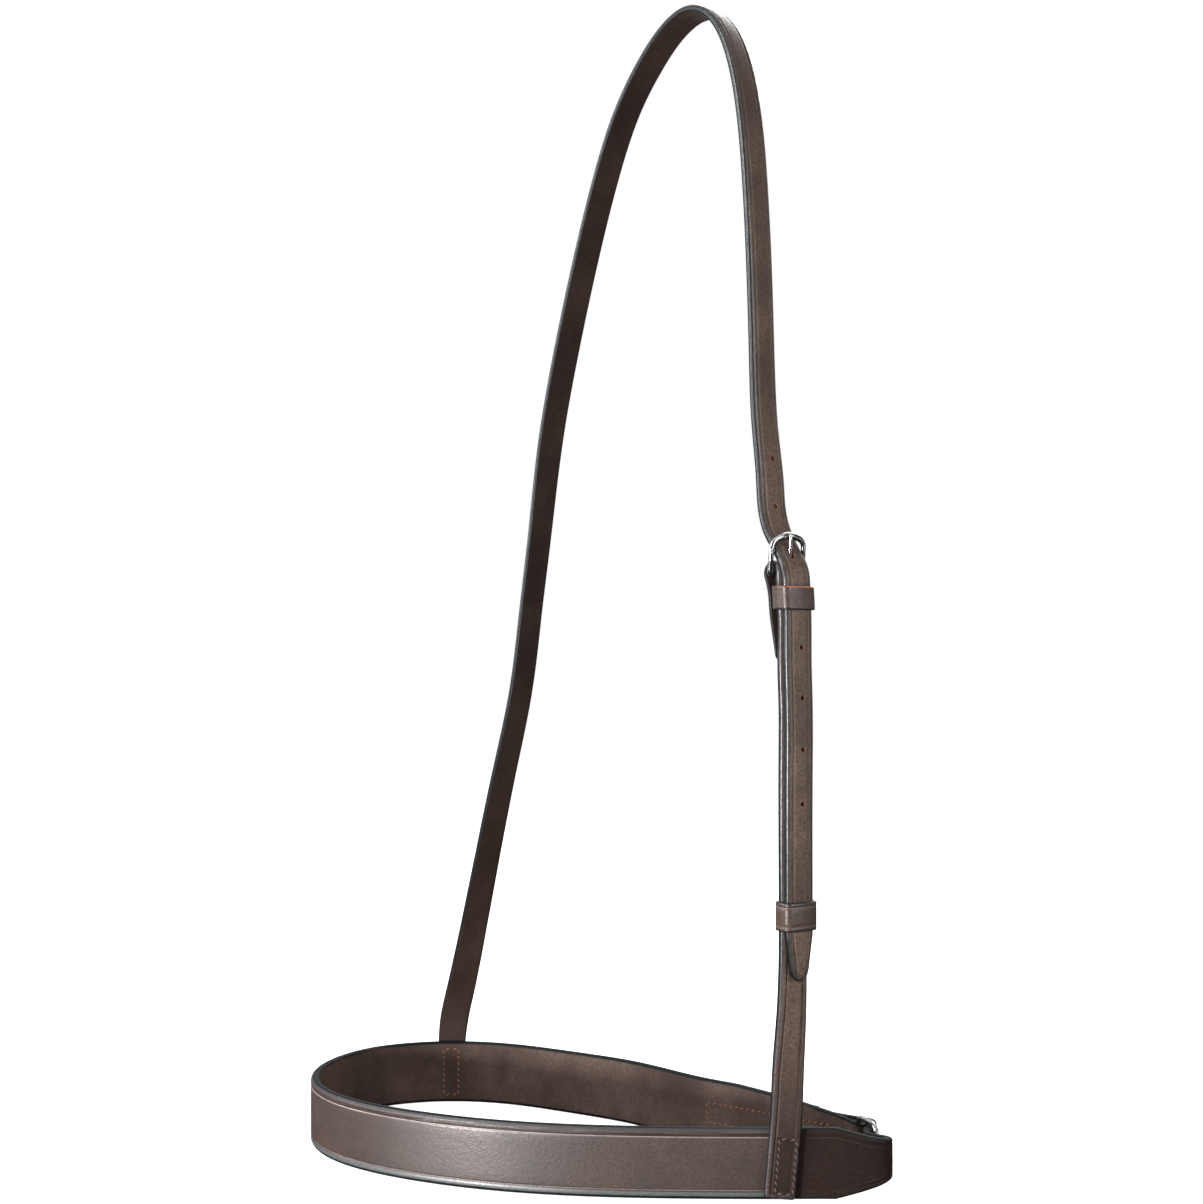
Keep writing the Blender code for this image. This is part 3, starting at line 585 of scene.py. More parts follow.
class Sketch:
    """Short way to lay out shader nodes in one tree."""

    def __init__(self, tree: bpy.types.NodeTree) -> None:
        """Start on an empty tree."""
        self.tree = tree
        tree.nodes.clear()

    def add(self, kind: str, *inputs: object, **settings: object) -> bpy.types.Node:
        """Add a node.

        Args:
            kind: its type, without the words that all shader nodes start with.
            inputs: (socket, value or output socket) pairs.
            settings: attributes of the node.

        Returns:
            The node.
        """
        node = self.tree.nodes.new(kind if kind.startswith("NodeGroup") else "ShaderNode" + kind)
        for name, value in settings.items():
            setattr(node, name, value)
        for socket, value in inputs:
            self.feed(node.inputs[socket], value)
        return node

    def feed(self, socket: Socket, value: object) -> None:
        """Link a socket to an output, or set its value."""
        if isinstance(value, bpy.types.NodeSocket):
            self.tree.links.new(value, socket)
        elif isinstance(value, tuple) and len(value) == 3 and socket.type == "RGBA":
            socket.default_value = (*value, 1.0)
        else:
            socket.default_value = value

    def maths(self, operation: str, first: object, second: object = 0.0, clamp: bool = False) -> Socket:
        """Result of a Math node."""
        return self.add("Math", (0, first), (1, second), operation=operation, use_clamp=clamp).outputs[0]

    def times(self, first: object, second: object) -> Socket:
        """Product of two values."""
        return self.maths("MULTIPLY", first, second)

    def plus(self, first: object, second: object, clamp: bool = False) -> Socket:
        """Sum of two values."""
        return self.maths("ADD", first, second, clamp)

    def minus(self, first: object, second: object) -> Socket:
        """Difference of two values."""
        return self.maths("SUBTRACT", first, second)

    def gap(self, value: object, spot: float) -> Socket:
        """How far a value is from a spot, on either side."""
        return self.maths("ABSOLUTE", self.minus(value, spot))

    def ramp(self, value: object, low: float, high: float, start: float = 0.0, end: float = 1.0) -> Socket:
        """Value mapped smoothly from low..high to start..end."""
        node = self.add("MapRange", ("Value", value), ("From Min", low), ("From Max", high),
                        ("To Min", start), ("To Max", end), interpolation_type="SMOOTHSTEP")
        return node.outputs["Result"]

    def mix(self, factor: object, first: object, second: object) -> Socket:
        """Colour mixed from first to second."""
        return self.add("Mix", (0, factor), (6, first), (7, second), data_type="RGBA").outputs[2]

    def layered(self, colour: Socket, *layers: tuple[Socket, float, Colour]) -> Socket:
        """Colour with others laid over it in turn, each a row of mask, share and colour."""
        for mask, share, over in layers:
            colour = self.mix(self.times(mask, share), colour, over)
        return colour

    def noise(self, vector: object, scale: object, detail: float = 4.0, roughness: float = 0.55) -> Socket:
        """Factor of a Noise texture."""
        node = self.add("TexNoise", ("Vector", vector), ("Scale", scale), ("Detail", detail),
                        ("Roughness", roughness))
        return node.outputs[0]

    def stretched(self, vector: object, scale: Place, turn: Place = (0.0, 0.0, 0.0), detail: float = 2.0,
                  ) -> Socket:
        """Factor of a Noise texture that is stretched along an axis."""
        mapping = self.add("Mapping", ("Vector", vector), ("Scale", scale), ("Rotation", turn))
        return self.noise(mapping.outputs[0], 1.0, detail)

    def place(self) -> Socket:
        """Object coordinates."""
        return self.add("TexCoord").outputs["Object"]

    def chart(self, name: str) -> Socket:
        """Values of one of the piece's own UV maps."""
        return self.add("UVMap", uv_map=name).outputs[0]

    def parts(self, vector: Socket) -> bpy.types.bpy_prop_collection:
        """The three numbers of a vector."""
        return self.add("SeparateXYZ", (0, vector)).outputs

    def surface(self, *inputs: object, relief: tuple[Socket, float, float] | None = None) -> None:
        """End the material in a Principled surface.

        Args:
            inputs: (socket, value or output socket) pairs of the surface.
            relief: height, strength and depth in millimetres of its bump, if it has one.
        """
        shader = self.add("BsdfPrincipled", *inputs)
        if relief is not None:
            height, strength, depth = relief
            bump = self.add("Bump", ("Height", height), ("Strength", strength), ("Distance", depth * MM))
            self.feed(shader.inputs["Normal"], bump.outputs[0])
        self.add("OutputMaterial", ("Surface", shader.outputs[0]))


def new_material(name: str) -> tuple[Material, Sketch]:
    """Empty material and a sketch of its nodes."""
    made = bpy.data.materials.new(name)
    made.use_nodes = True
    return made, Sketch(made.node_tree)


class SharedGroup(Sketch):
    """Shader node group with number inputs, whose outputs are added when it is closed."""

    def __init__(self, name: str, **defaults: float) -> None:
        """Start the group.

        Args:
            name: its name.
            defaults: its inputs and their defaults.
        """
        super().__init__(bpy.data.node_groups.new(name, "ShaderNodeTree"))
        for title, default in defaults.items():
            self.socket(title, "INPUT").default_value = default
        self.taken = self.add("NodeGroupInput").outputs

    def socket(self, title: str, way: str) -> bpy.types.NodeTreeInterfaceSocket:
        """Add a number socket to the group."""
        return self.tree.interface.new_socket(name=title, in_out=way, socket_type="NodeSocketFloat")

    def close(self, **values: Socket) -> bpy.types.NodeTree:
        """Give the group one output for each value."""
        for title in values:
            self.socket(title, "OUTPUT")
        sink = self.add("NodeGroupOutput")
        for title, value in values.items():
            self.feed(sink.inputs[title], value)
        return self.tree


class Effects:
    """Shader node groups that several finishes use."""

    def __init__(self) -> None:
        """Build the groups once."""
        self.grain = self.build_grain()
        self.edges = self.build_edges()
        self.dye = self.build_dye()

    @staticmethod
    def build_grain() -> bpy.types.NodeTree:
        """Fine hide grain: small cells with pores between them, and a few longer wrinkles."""
        group = SharedGroup("hide_grain", cells=1500.0)
        place = group.place()
        cells = group.add("TexVoronoi", ("Vector", place), ("Scale", group.taken["cells"]),
                          ("Randomness", 1.0), feature="F1").outputs["Distance"]
        dents, fine = group.noise(place, 400, 5, 0.72), group.noise(place, 2600, 2)
        height = group.plus(group.times(cells, 0.8), group.times(dents, 2.6))
        height = group.plus(height, group.times(fine, 0.35))
        return group.close(height=height, pores=group.ramp(cells, 0.45, 0.85))

    @staticmethod
    def build_edges() -> bpy.types.NodeTree:
        """Masks beside a strap's edges, from its relief map, which is in millimetres from the edge."""
        group = SharedGroup("strap_edges", crease=3.1, edge_width=0.5, bottom_shade_width=0.0, line_width=1.0)
        ramp, times, plus, minus, noise = group.ramp, group.times, group.plus, group.minus, group.noise
        offset, inner, _ = group.parts(group.chart("relief"))
        along = group.parts(group.chart("along"))[0]
        place = group.place()
        height = group.parts(place)[2]
        outer = ramp(inner, 0.2, 0.4, 1, 0)
        loose = plus(offset, times(minus(noise(place, 260), 0.5), 0.5))
        foot = ramp(height, 0.006, 0.012, 1, 0)
        # Along the bottom the black edge is painted wider, as painted shade on the downward face.
        width = plus(group.taken["edge_width"], times(foot, group.taken["bottom_shade_width"]))
        mottle = ramp(noise(place, 850, 3, 0.7), 0.38, 0.6, 0.15, 1)
        # Mottled zone between the edge and the lower crease; at the bottom it carries a painted pale
        # highlight.
        rim = times(ramp(loose, 2.9, 3.5, 1, 0), ramp(mottle, 0, 1, 0.7, 1))
        polish = times(ramp(offset, 0.5, 2.1, 1, 0), ramp(noise(place, 700, 3, 0.7), 0.36, 0.6, 0.45, 1))
        away = minus(offset, group.taken["crease"])
        broken = times(outer, ramp(noise(place, 300, 3), 0.3, 0.55, 0.55, 1))
        # Dark line inside each crease, on the edge side of its groove: painted shade.
        line = ramp(group.maths("DIVIDE", group.gap(away, -0.22), group.taken["line_width"]), 0.06, 0.3, 1, 0)
        # Pale line beside each crease, on the face side of its groove: a painted highlight.
        lip = ramp(group.gap(away, 0.2), 0.08, 0.3, 1, 0)
        drawn = group.add("CombineXYZ", (0, times(along, 22.0)), (1, times(offset, 1.5))).outputs[0]
        lines = times(ramp(noise(drawn, 1.0, 2, 0.5), 0.46, 0.56), ramp(away, -0.7, -0.3, 1, 0))
        worn = times(ramp(group.gap(offset, 0.7), 0.08, 0.3, 1, 0), ramp(noise(place, 44, 3), 0.56, 0.66))
        return group.close(
            burnish=ramp(minus(loose, width), -0.2, 0.35, 1, 0), rub=ramp(loose, 0.8, 2.6, 1, 0),
            # shoulder: where the burnished shoulder gets the tint of a painted reflection.
            shoulder=times(times(ramp(loose, 1.5, 2.5, 1, 0), mottle), outer),
            polish=times(polish, ramp(inner, 0.45, 0.75, 1, 0)),
            crease_line=times(line, broken), crease_lip=times(lip, broken),
            pressed_lines=times(times(lines, minus(1.0, foot)), outer),
            # foot: a painted pale highlight along the band's bottom edge; shade: painted shade, darker
            # towards the band.
            foot=times(times(rim, foot), outer), shade=ramp(height, 0.022, 0.078, 1, 0),
            inner=ramp(inner, 0.55, 0.8), raw=times(worn, ramp(inner, 0.6, 0.8)))

    @staticmethod
    def build_dye() -> bpy.types.NodeTree:
        """Uneven dye: broad clouds, faint smears along the strap and small specks."""
        group = SharedGroup("uneven_dye", cloud_scale=26.0)
        place = group.place()
        clouds = group.noise(place, group.taken["cloud_scale"], 6, 0.62)
        smears = group.stretched(group.chart("along"), (40.0, 900.0, 1.0), detail=3)
        specks = group.noise(place, 820, 4, 0.75)
        return group.close(clouds=group.ramp(clouds, 0.32, 0.7), smears=group.ramp(smears, 0.4, 0.7),
                           specks=group.ramp(specks, 0.4, 0.64))


@dataclass(frozen=True)
class BridleLeather:
    """Dyed and waxed bridle leather: one finish for its grain face and edges, one for its flesh face."""

    name: str
    dark: Colour = (0.066, 0.0435, 0.0335)
    light: Colour = (0.127, 0.0860, 0.0665)
    deep: Colour = (0.022, 0.0130, 0.0105)
    flesh_dark: Colour = (0.034, 0.0210, 0.0170)
    flesh_light: Colour = (0.072, 0.0480, 0.0400)
    edge: Colour = (0.0035, 0.0045, 0.0055)
    # Tint of the burnished shoulder beside each edge: a painted reflection.
    shoulder: Colour = (0.019, 0.0220, 0.0240)
    # Colour of the pressed lines, and of the painted shade inside each crease.
    press: Colour = (0.020, 0.0075, 0.0065)
    # Pale bluish colour along the band's bottom edge: a painted highlight.
    rim: Colour | None = None
    # Colour that the straps are painted towards the band: painted shade, darker towards the bottom.
    shade: Colour | None = None
    # Colour of the painted highlight beside each crease.
    lip: Colour = (0.165, 0.125, 0.100)
    raw: Colour = (0.110, 0.036, 0.020)
    crease: float = 3.1
    edge_width: float = 0.5
    # Extra width of the black edge along the bottom: painted shade.
    bottom_shade_width: float = 0.0
    # Width of the painted shade line inside each crease.
    line_width: float = 1.0
    raw_edge: bool = False
    shine: float = 0.2
    dullness: tuple[float, float] = (0.36, 0.43)
    polish_share: float = 1.0
    shoulder_reflection_share: float = 0.75
    press_share: float = 0.25
    lip_highlight_share: float = 0.5
    # Share of the painted shade inside each crease.
    crease_shade_share: float = 0.45
    margin_dullness: float = 0.0
    rim_coat: float = 1.0
    coat_roughness: float = 0.27

    def start(self, effects: Effects, face: str) -> tuple:
        """Empty material with the shared groups set to this leather's sizes.

        Args:
            effects: the shared node groups.
            face: the face that the material is for.

        Returns:
            The material, its sketch, and the outputs of the grain, edge and dye groups.
        """
        made, sketch = new_material(f"{self.name}_{face}")
        nodes = [sketch.add("Group", node_tree=tree) for tree in (effects.grain, effects.edges, effects.dye)]
        for title in ("crease", "edge_width", "bottom_shade_width", "line_width"):
            nodes[1].inputs[title].default_value = getattr(self, title)
        return made, sketch, *(node.outputs for node in nodes)

    def build(self, effects: Effects) -> Material:
        """Make the finish of the grain face and the edges."""
        made, sketch, grain, edges, dye = self.start(effects, "grain")
        burnish = edges["burnish"]
        layers = [(dye["smears"], 0.2, self.light), (dye["specks"], 0.55, self.deep),
                  (grain["pores"], 0.4, self.deep), (edges["rub"], 0.3, self.deep),
                  # The shoulder tint is a painted reflection.
                  (edges["shoulder"], self.shoulder_reflection_share, self.shoulder)]
        # Painted pale highlight along the bottom edge, then painted shade towards the band.
        layers += [(edges[mask], share, colour) for mask, share, colour in (
            ("foot", 1.0, self.rim), ("shade", 0.92, self.shade)) if colour is not None]
        layers += [(edges["pressed_lines"], self.press_share, self.press),
                   # Painted highlight beside each crease.
                   (edges["crease_lip"], self.lip_highlight_share, self.lip),
                   # Painted shade inside each crease, then the black edge.
                   (edges["crease_line"], self.crease_shade_share, self.press), (burnish, 1.0, self.edge)]
        colour = sketch.layered(sketch.mix(dye["clouds"], self.dark, self.light), *layers)
        if self.raw_edge:
            bare = sketch.ramp(sketch.noise(sketch.place(), 75, 2), 0.4, 0.56, 0.1, 1)
            colour = sketch.mix(sketch.times(sketch.times(burnish, edges["inner"]), bare), colour, self.raw)
        rough = sketch.ramp(dye["clouds"], 0, 1, self.dullness[1], self.dullness[0])
        rough = sketch.plus(rough, sketch.times(dye["specks"], 0.1), clamp=True)
        if self.margin_dullness:
            margin = sketch.times(edges["rub"], sketch.minus(1.0, edges["foot"]))
            rough = sketch.plus(rough, sketch.times(margin, self.margin_dullness), clamp=True)
        height = sketch.times(grain["height"], sketch.minus(1.0, sketch.times(burnish, 0.6)))
        height = sketch.minus(height, sketch.times(edges["pressed_lines"], 2.5 * self.press_share))
        coat = sketch.times(edges["polish"], self.polish_share)
        if self.rim is not None:
            coat = sketch.plus(coat, sketch.times(edges["foot"], self.rim_coat), clamp=True)
        sketch.surface(("Base Color", colour), ("Roughness", rough), ("IOR", 1.48),
                       ("Specular IOR Level", self.shine), ("Coat Weight", coat),
                       ("Coat Roughness", self.coat_roughness), relief=(height, 0.5, 0.07))
        return made

    def build_flesh(self, effects: Effects) -> Material:
        """Make the duller finish of the flesh face, which is worn to the raw colour along its edge."""
        made, sketch, grain, edges, dye = self.start(effects, "flesh")
        colour = sketch.layered(sketch.mix(dye["clouds"], self.flesh_dark, self.flesh_light),
                                (dye["specks"], 0.5, self.flesh_dark), (edges["rub"], 0.3, self.flesh_dark),
                                (edges["burnish"], 1.0, self.edge), (edges["raw"], 0.7, self.raw))
        rough = sketch.ramp(dye["clouds"], 0, 1, 0.66, 0.55)
        sketch.surface(("Base Color", colour), ("Roughness", rough), ("IOR", 1.48),
                       ("Specular IOR Level", 0.12), relief=(grain["height"], 0.6, 0.18))
        return made


@dataclass(frozen=True)
class RawLeather:
    """Undyed leather inside a punched hole."""

    name: str = "punched_leather"
    colour: Colour = (0.42, 0.120, 0.060)
    deep: Colour = (0.035, 0.014, 0.010)

    def build(self) -> Material:
        """Make the material."""
        made, sketch = new_material(self.name)
        fibres = sketch.noise(sketch.place(), 2400, 4, 0.7)
        colour = sketch.mix(sketch.ramp(fibres, 0.35, 0.65), self.deep, self.colour)
        sketch.surface(("Base Color", colour), ("Roughness", 0.9), relief=(fibres, 0.6, 0.1))
        return made


@dataclass(frozen=True)
class WaxedThread:
    """Twisted linen thread, waxed, with its ends painted near black where it goes into its holes, as painted
    shade.
    """

    name: str
    light: Colour
    dark: Colour
    # Near-black colour of the stitch ends: painted shade of the stitch holes.
    hole: Colour = (0.004, 0.0025, 0.0020)

    def build(self) -> Material:
        """Make the material."""
        made, sketch = new_material(self.name)
        twist = sketch.chart("twist")
        ply = sketch.add("TexWave", ("Vector", twist), ("Scale", 1.0), ("Distortion", 0.6),
                         wave_type="BANDS", bands_direction="DIAGONAL").outputs[1]
        fluff = sketch.ramp(sketch.noise(sketch.place(), 1800, 3), 0.2, 0.8, 0.55, 1)
        colour = sketch.mix(sketch.times(ply, fluff), self.dark, self.light)
        # Ends of each stitch, which get the painted shade of its holes.
        end = sketch.ramp(sketch.gap(sketch.parts(twist)[0], 0.0), 2.8, 4.4)
        sketch.surface(("Base Color", sketch.mix(end, colour, self.hole)), ("Roughness", 0.55),
                       ("Specular IOR Level", 0.4), relief=(ply, 0.6, 0.08))
        return made


@dataclass(frozen=True)
class PolishedSteel:
    """Cast stainless steel, polished, with faint scratches."""

    name: str = "polished_stainless"
    bright: Colour = (0.50, 0.505, 0.495)
    dull: Colour = (0.27, 0.275, 0.27)

    def build(self) -> Material:
        """Make the material."""
        made, sketch = new_material(self.name)
        place = sketch.place()
        smudge = sketch.noise(place, 180)
        scratch = sketch.stretched(place, (900.0, 4200.0, 900.0), (0.4, 0.2, 0.7))
        colour = sketch.mix(sketch.ramp(smudge, 0.3, 0.75), self.bright, self.dull)
        rough = sketch.ramp(sketch.times(smudge, scratch), 0.12, 0.45, 0.13, 0.3)
        sketch.surface(("Base Color", colour), ("Roughness", rough), ("Metallic", 1.0),
                       relief=(scratch, 0.08, 0.05))
        return made


@dataclass(frozen=True)
class BlackEdge:
    """Black dressing on the cut edge of the wide band."""

    name: str = "black_edge"
    colour: Colour = (0.0030, 0.0045, 0.0055)
    worn: Colour = (0.012, 0.0145, 0.0155)

    def build(self) -> Material:
        """Make the material."""
        made, sketch = new_material(self.name)
        patches = sketch.ramp(sketch.noise(sketch.place(), 500, 4, 0.65), 0.5, 0.75)
        sketch.surface(("Base Color", sketch.mix(patches, self.colour, self.worn)), ("Roughness", 0.45),
                       ("Specular IOR Level", 0.04))
        return made


@dataclass(frozen=True)
class StrapFinish:
    """Finishes of one strap: its grain face, its flesh face, its end, painted darker as painted shade, and
    its cut edge.
    """

    grain: Material
    flesh: Material
    end: Material
    rim: Material


@dataclass
class Wardrobe:
    """All finishes, made once."""

    effects: Effects = field(default_factory=Effects)

    def __post_init__(self) -> None:
        """Build each material."""
        band = BridleLeather("band_leather", crease=3.9, dark=(0.032, 0.0210, 0.0175),
                             light=(0.070, 0.0470, 0.0390), deep=(0.012, 0.0070, 0.0060),
                             # The rim colour is a painted pale highlight along the band's bottom edge.
                             lip=(0.30, 0.24, 0.23), rim=(0.060, 0.070, 0.074),
                             # Its black edge is painted wider along the bottom, as painted shade.
                             flesh_light=(0.082, 0.0545, 0.0455), edge_width=1.0, bottom_shade_width=0.4, shine=0.72,
                             dullness=(0.32, 0.40), polish_share=0.0, shoulder_reflection_share=0.25, press_share=0.95,
                             lip_highlight_share=0.6, crease_shade_share=0.85, margin_dullness=0.22, rim_coat=0.5,
                             coat_roughness=0.38)
        # The band from the near seam to its billet end is painted darker: painted shade.
        billet = BridleLeather("billet_painted_shade", crease=3.9, dark=(0.012, 0.0070, 0.0058),
                               light=(0.021, 0.0130, 0.0108), deep=(0.008, 0.0048, 0.0040), shine=0.08,
                               dullness=(0.5, 0.58), polish_share=0.1, shoulder_reflection_share=0.3, lip_highlight_share=0.08,
                               crease_shade_share=0.2)
        # The shade colours of the strap and cheek finishes are painted shade, darker towards the band.
        strap = BridleLeather("strap_leather", shade=(0.018, 0.0115, 0.0095),
                              flesh_dark=(0.019, 0.0105, 0.0080), flesh_light=(0.036, 0.0215, 0.0165))
        # The sewn ends are painted darker still, carrying on that painted shade.
        sewn = BridleLeather("sewn_end_painted_shade", dark=(0.016, 0.0098, 0.0080), light=(0.027, 0.0175, 0.0140),
                             deep=(0.010, 0.0062, 0.0050), shoulder=(0.060, 0.048, 0.050), shine=0.12,
                             dullness=(0.46, 0.52), lip_highlight_share=0.05, crease_shade_share=0.4)
        cheek = BridleLeather("cheek_leather", shade=(0.020, 0.0125, 0.0105), shoulder=(0.082, 0.066, 0.066),
                              # The cheek strap's creases get a wider, full painted shade and a faint painted
                              # highlight.
                              lip=(0.135, 0.108, 0.092), crease_shade_share=1.0, lip_highlight_share=0.2, line_width=1.7)
        plain = BridleLeather("plain_keeper_leather", dark=(0.029, 0.0185, 0.0140),
                              light=(0.063, 0.0410, 0.0318), shine=0.40, dullness=(0.33, 0.39),
                              polish_share=0.3, shoulder_reflection_share=0.0, crease=30.0, raw_edge=True,
                              raw=(0.36, 0.125, 0.055))
        creased = replace(plain, name="creased_keeper_leather", crease=1.9, raw_edge=False)
        grain, end, cheek_grain, self.plain_keeper, self.creased_keeper = (
            finish.build(self.effects) for finish in (strap, sewn, cheek, plain, creased))
        flesh = strap.build_flesh(self.effects)
        self.band = StrapFinish(band.build(self.effects), band.build_flesh(self.effects),
                                billet.build(self.effects), BlackEdge().build())
        self.strap = StrapFinish(grain, flesh, end, grain)
        self.cheek = StrapFinish(cheek_grain, flesh, end, cheek_grain)
        self.punched = RawLeather().build()
        self.steel = PolishedSteel().build()
        self.threads = {
            Side.OUTER: WaxedThread("outer_thread", (0.180, 0.115, 0.090), (0.044, 0.026, 0.019)).build(),
            Side.INNER: WaxedThread("inner_thread", (0.40, 0.150, 0.065), (0.085, 0.030, 0.015)).build(),
        }


def dress(piece: Piece, *finishes: Material) -> None:
    """Give a piece its materials, the first one on all its faces."""
    piece.data.materials.clear()
    for finish in finishes:
        piece.data.materials.append(finish)


def dress_strap(piece: Piece, finish: StrapFinish, punched: Material,
                end: tuple[float, float]) -> None:
    """Give each face of a strap the finish of its side and stretch.

    Args:
        piece: the strap.
        finish: its finishes.
        punched: the finish of the walls of its holes.
        end: distances along between which its leather is painted darker, as painted shade.
    """
    dress(piece, finish.grain, finish.flesh, finish.end, finish.rim, punched)
    data = piece.data
    starts = np.empty(len(data.polygons), np.int32)
    data.polygons.foreach_get("loop_start", starts)
    counts = np.empty(len(data.polygons), np.int32)
    data.polygons.foreach_get("loop_total", counts)

    def mean(layer: str, axis: int) -> Array:
        """Mean over each face of one of the two values of a UV map."""
        values = np.empty(len(data.loops) * 2, np.float32)
        data.uv_layers[layer].data.foreach_get("uv", values)
        return np.add.reduceat(values[axis::2], starts) / counts

    along = mean("along", 0)
    slots = np.where((along > end[0]) & (along < end[1]), 2, 0)
    inner = mean("relief", 1)
    slots = np.where(inner > 0.9, 1, slots)
    if finish.rim is not finish.grain:
        slots = np.where((mean("relief", 0) < 0.2) & (inner > 0.2) & (inner < 0.9), 3, slots)
    data.polygons.foreach_set("material_index", slots.astype(np.int32))


def settle(piece: Piece, node: str, body: str) -> None:
    """Make a piece stand for a node of the frame and ride on its body.

    Args:
        piece: the finished piece.
        node: the node that it replaces.
        body: the body that it moves with.
    """
    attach(piece, body)
    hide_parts(node)
    LOG.info("%s: %d faces, rides on %s", piece.name, len(piece.data.polygons), body)


# Stitches


@dataclass
class StitchBox:
    """Closed rectangle of lockstitch on one face: separate slanted stitches sunk in a channel."""

    node: str
    frame: Matrix
    size: tuple[float, float]
    lift: Lift
    side: Side
    pitch: float = 3.2 * MM
    length: float = 2.7 * MM
    width: float = 0.74 * MM
    slant: float = math.radians(24)
    dip: float = 0.26 * MM
    wander: float = 0.03 * MM

    def spots(self) -> list[tuple[float, float, float]]:
        """Middle and direction of every stitch, in the frame of the rectangle."""
        width, length = self.size
        corners = [(-width / 2, -length / 2), (width / 2, -length / 2), (width / 2, length / 2),
                   (-width / 2, length / 2)]
        found = []
        for (x0, y0), (x1, y1) in zip(corners, corners[1:] + corners[:1]):
            run = math.hypot(x1 - x0, y1 - y0)
            count = max(2, round(run / self.pitch))
            heading = math.atan2(y1 - y0, x1 - x0)
            for i in range(count):
                share = (i + 0.5) / count
                found.append((x0 + (x1 - x0) * share, y0 + (y1 - y0) * share, heading))
        return found

    def model_stitch(self) -> Piece:
        """One stitch: a slim capsule that lies along X and dips at both ends."""
        deselect()
        bpy.ops.mesh.primitive_uv_sphere_add(segments=8, ring_count=9, radius=0.5,
                                             rotation=(0, math.pi / 2, 0))
        stitch = bpy.context.object
        bpy.ops.object.transform_apply(location=False, rotation=True, scale=False)
        flat = np.array([v.co for v in stitch.data.vertices])
        share = flat[:, 0] * 2
        belly = np.sqrt(np.clip(1 - share ** 4, 0, 1)) / np.sqrt(np.clip(1 - share ** 2, 1e-4, 1))
        flat[:, 1:] *= np.where(np.abs(share) > 0.98, 1.0, belly)[:, None]
        turn = np.arctan2(flat[:, 2], flat[:, 1])
        set_corners(stitch, "twist", np.stack([share * 5, turn * 0.8], axis=-1))
        flat *= np.array([self.length, self.width, self.width * 0.8])
        flat[:, 2] -= self.dip * share ** 4
        stitch.data.vertices.foreach_set("co", flat.ravel())
        return stitch

    def build(self, wardrobe: Wardrobe) -> Piece:
        """Sew the rectangle.

        Args:
            wardrobe: the finishes.

        Returns:
            The row of stitches as one piece.
        """
        pattern = self.model_stitch()
        heights = self.lift if callable(self.lift) else lambda along: self.lift
        facing, spread = (1.0, 0.03) if self.side is Side.OUTER else (-1.0, 0.12)
        copies = []
        rng = np.random.default_rng(len(self.node))
        for x, y, heading in self.spots():
            copy = pattern.copy()
            copy.data = pattern.data.copy()
            bpy.context.scene.collection.objects.link(copy)
            tilt = heading + facing * self.slant + rng.normal(0, spread)
            turn = Matrix.Rotation(tilt, 4, "Z") @ Matrix.Scale(facing, 4, (0, 0, 1))
            spot = Matrix.Translation((x + rng.normal(0, self.wander), y, heights(y)))
            copy.data.transform(self.frame @ spot @ turn)
            copies.append(copy)
        bpy.data.objects.remove(pattern, do_unlink=True)
        active(copies[0])
        for copy in copies:
            copy.select_set(True)
        bpy.ops.object.join()
        row = bpy.context.object
        row.name = row.data.name = self.node.replace("thread", "stitches")
        row.data.transform(Matrix.Translation(Vector(-PLAN_MIDDLE)))
        active(row)
        face_outwards()
        bpy.ops.object.shade_smooth()
        dress(row, wardrobe.threads[self.side])
        settle(row, self.node, "noseband")
        return row


def sew_seam(seam: str, frame: Matrix, size: tuple[float, float], lifts: tuple[Lift, Lift],
             wardrobe: Wardrobe) -> None:
    """Sew the rectangle of a seam on both faces.

    Args:
        seam: name of the seam.
        frame: frame at the middle of the rectangle.
        size: its width and length.
        lifts: heights of the outer and inner stitches, each a number or a function of the distance along.
        wardrobe: the finishes.
    """
    for side, lift in zip(Side, lifts):
        StitchBox(f"{seam}_{side.value}_thread", frame, size, lift, side).build(wardrobe)


def seam_channel(start: float, box: tuple[float, float], side: float = 0.0) -> Press:
    """Shallow channel that the stitches of a rectangle lie in.

    Args:
        start: distance along at the rectangle's middle.
        box: its width and length.
        side: how far its middle is from the strap's middle.

    Returns:
        The press of the strap's faces.
    """
    depth, half_width = 0.16 * MM, 0.55 * MM

    def press(along: Array, across: Array) -> Array:
        """Depth of the channel at each place."""
        beyond = np.maximum(np.abs(across - side) - box[0] / 2, np.abs(along - start) - box[1] / 2)
        return depth * np.exp(-(beyond / half_width) ** 2)
    return press


# The parts


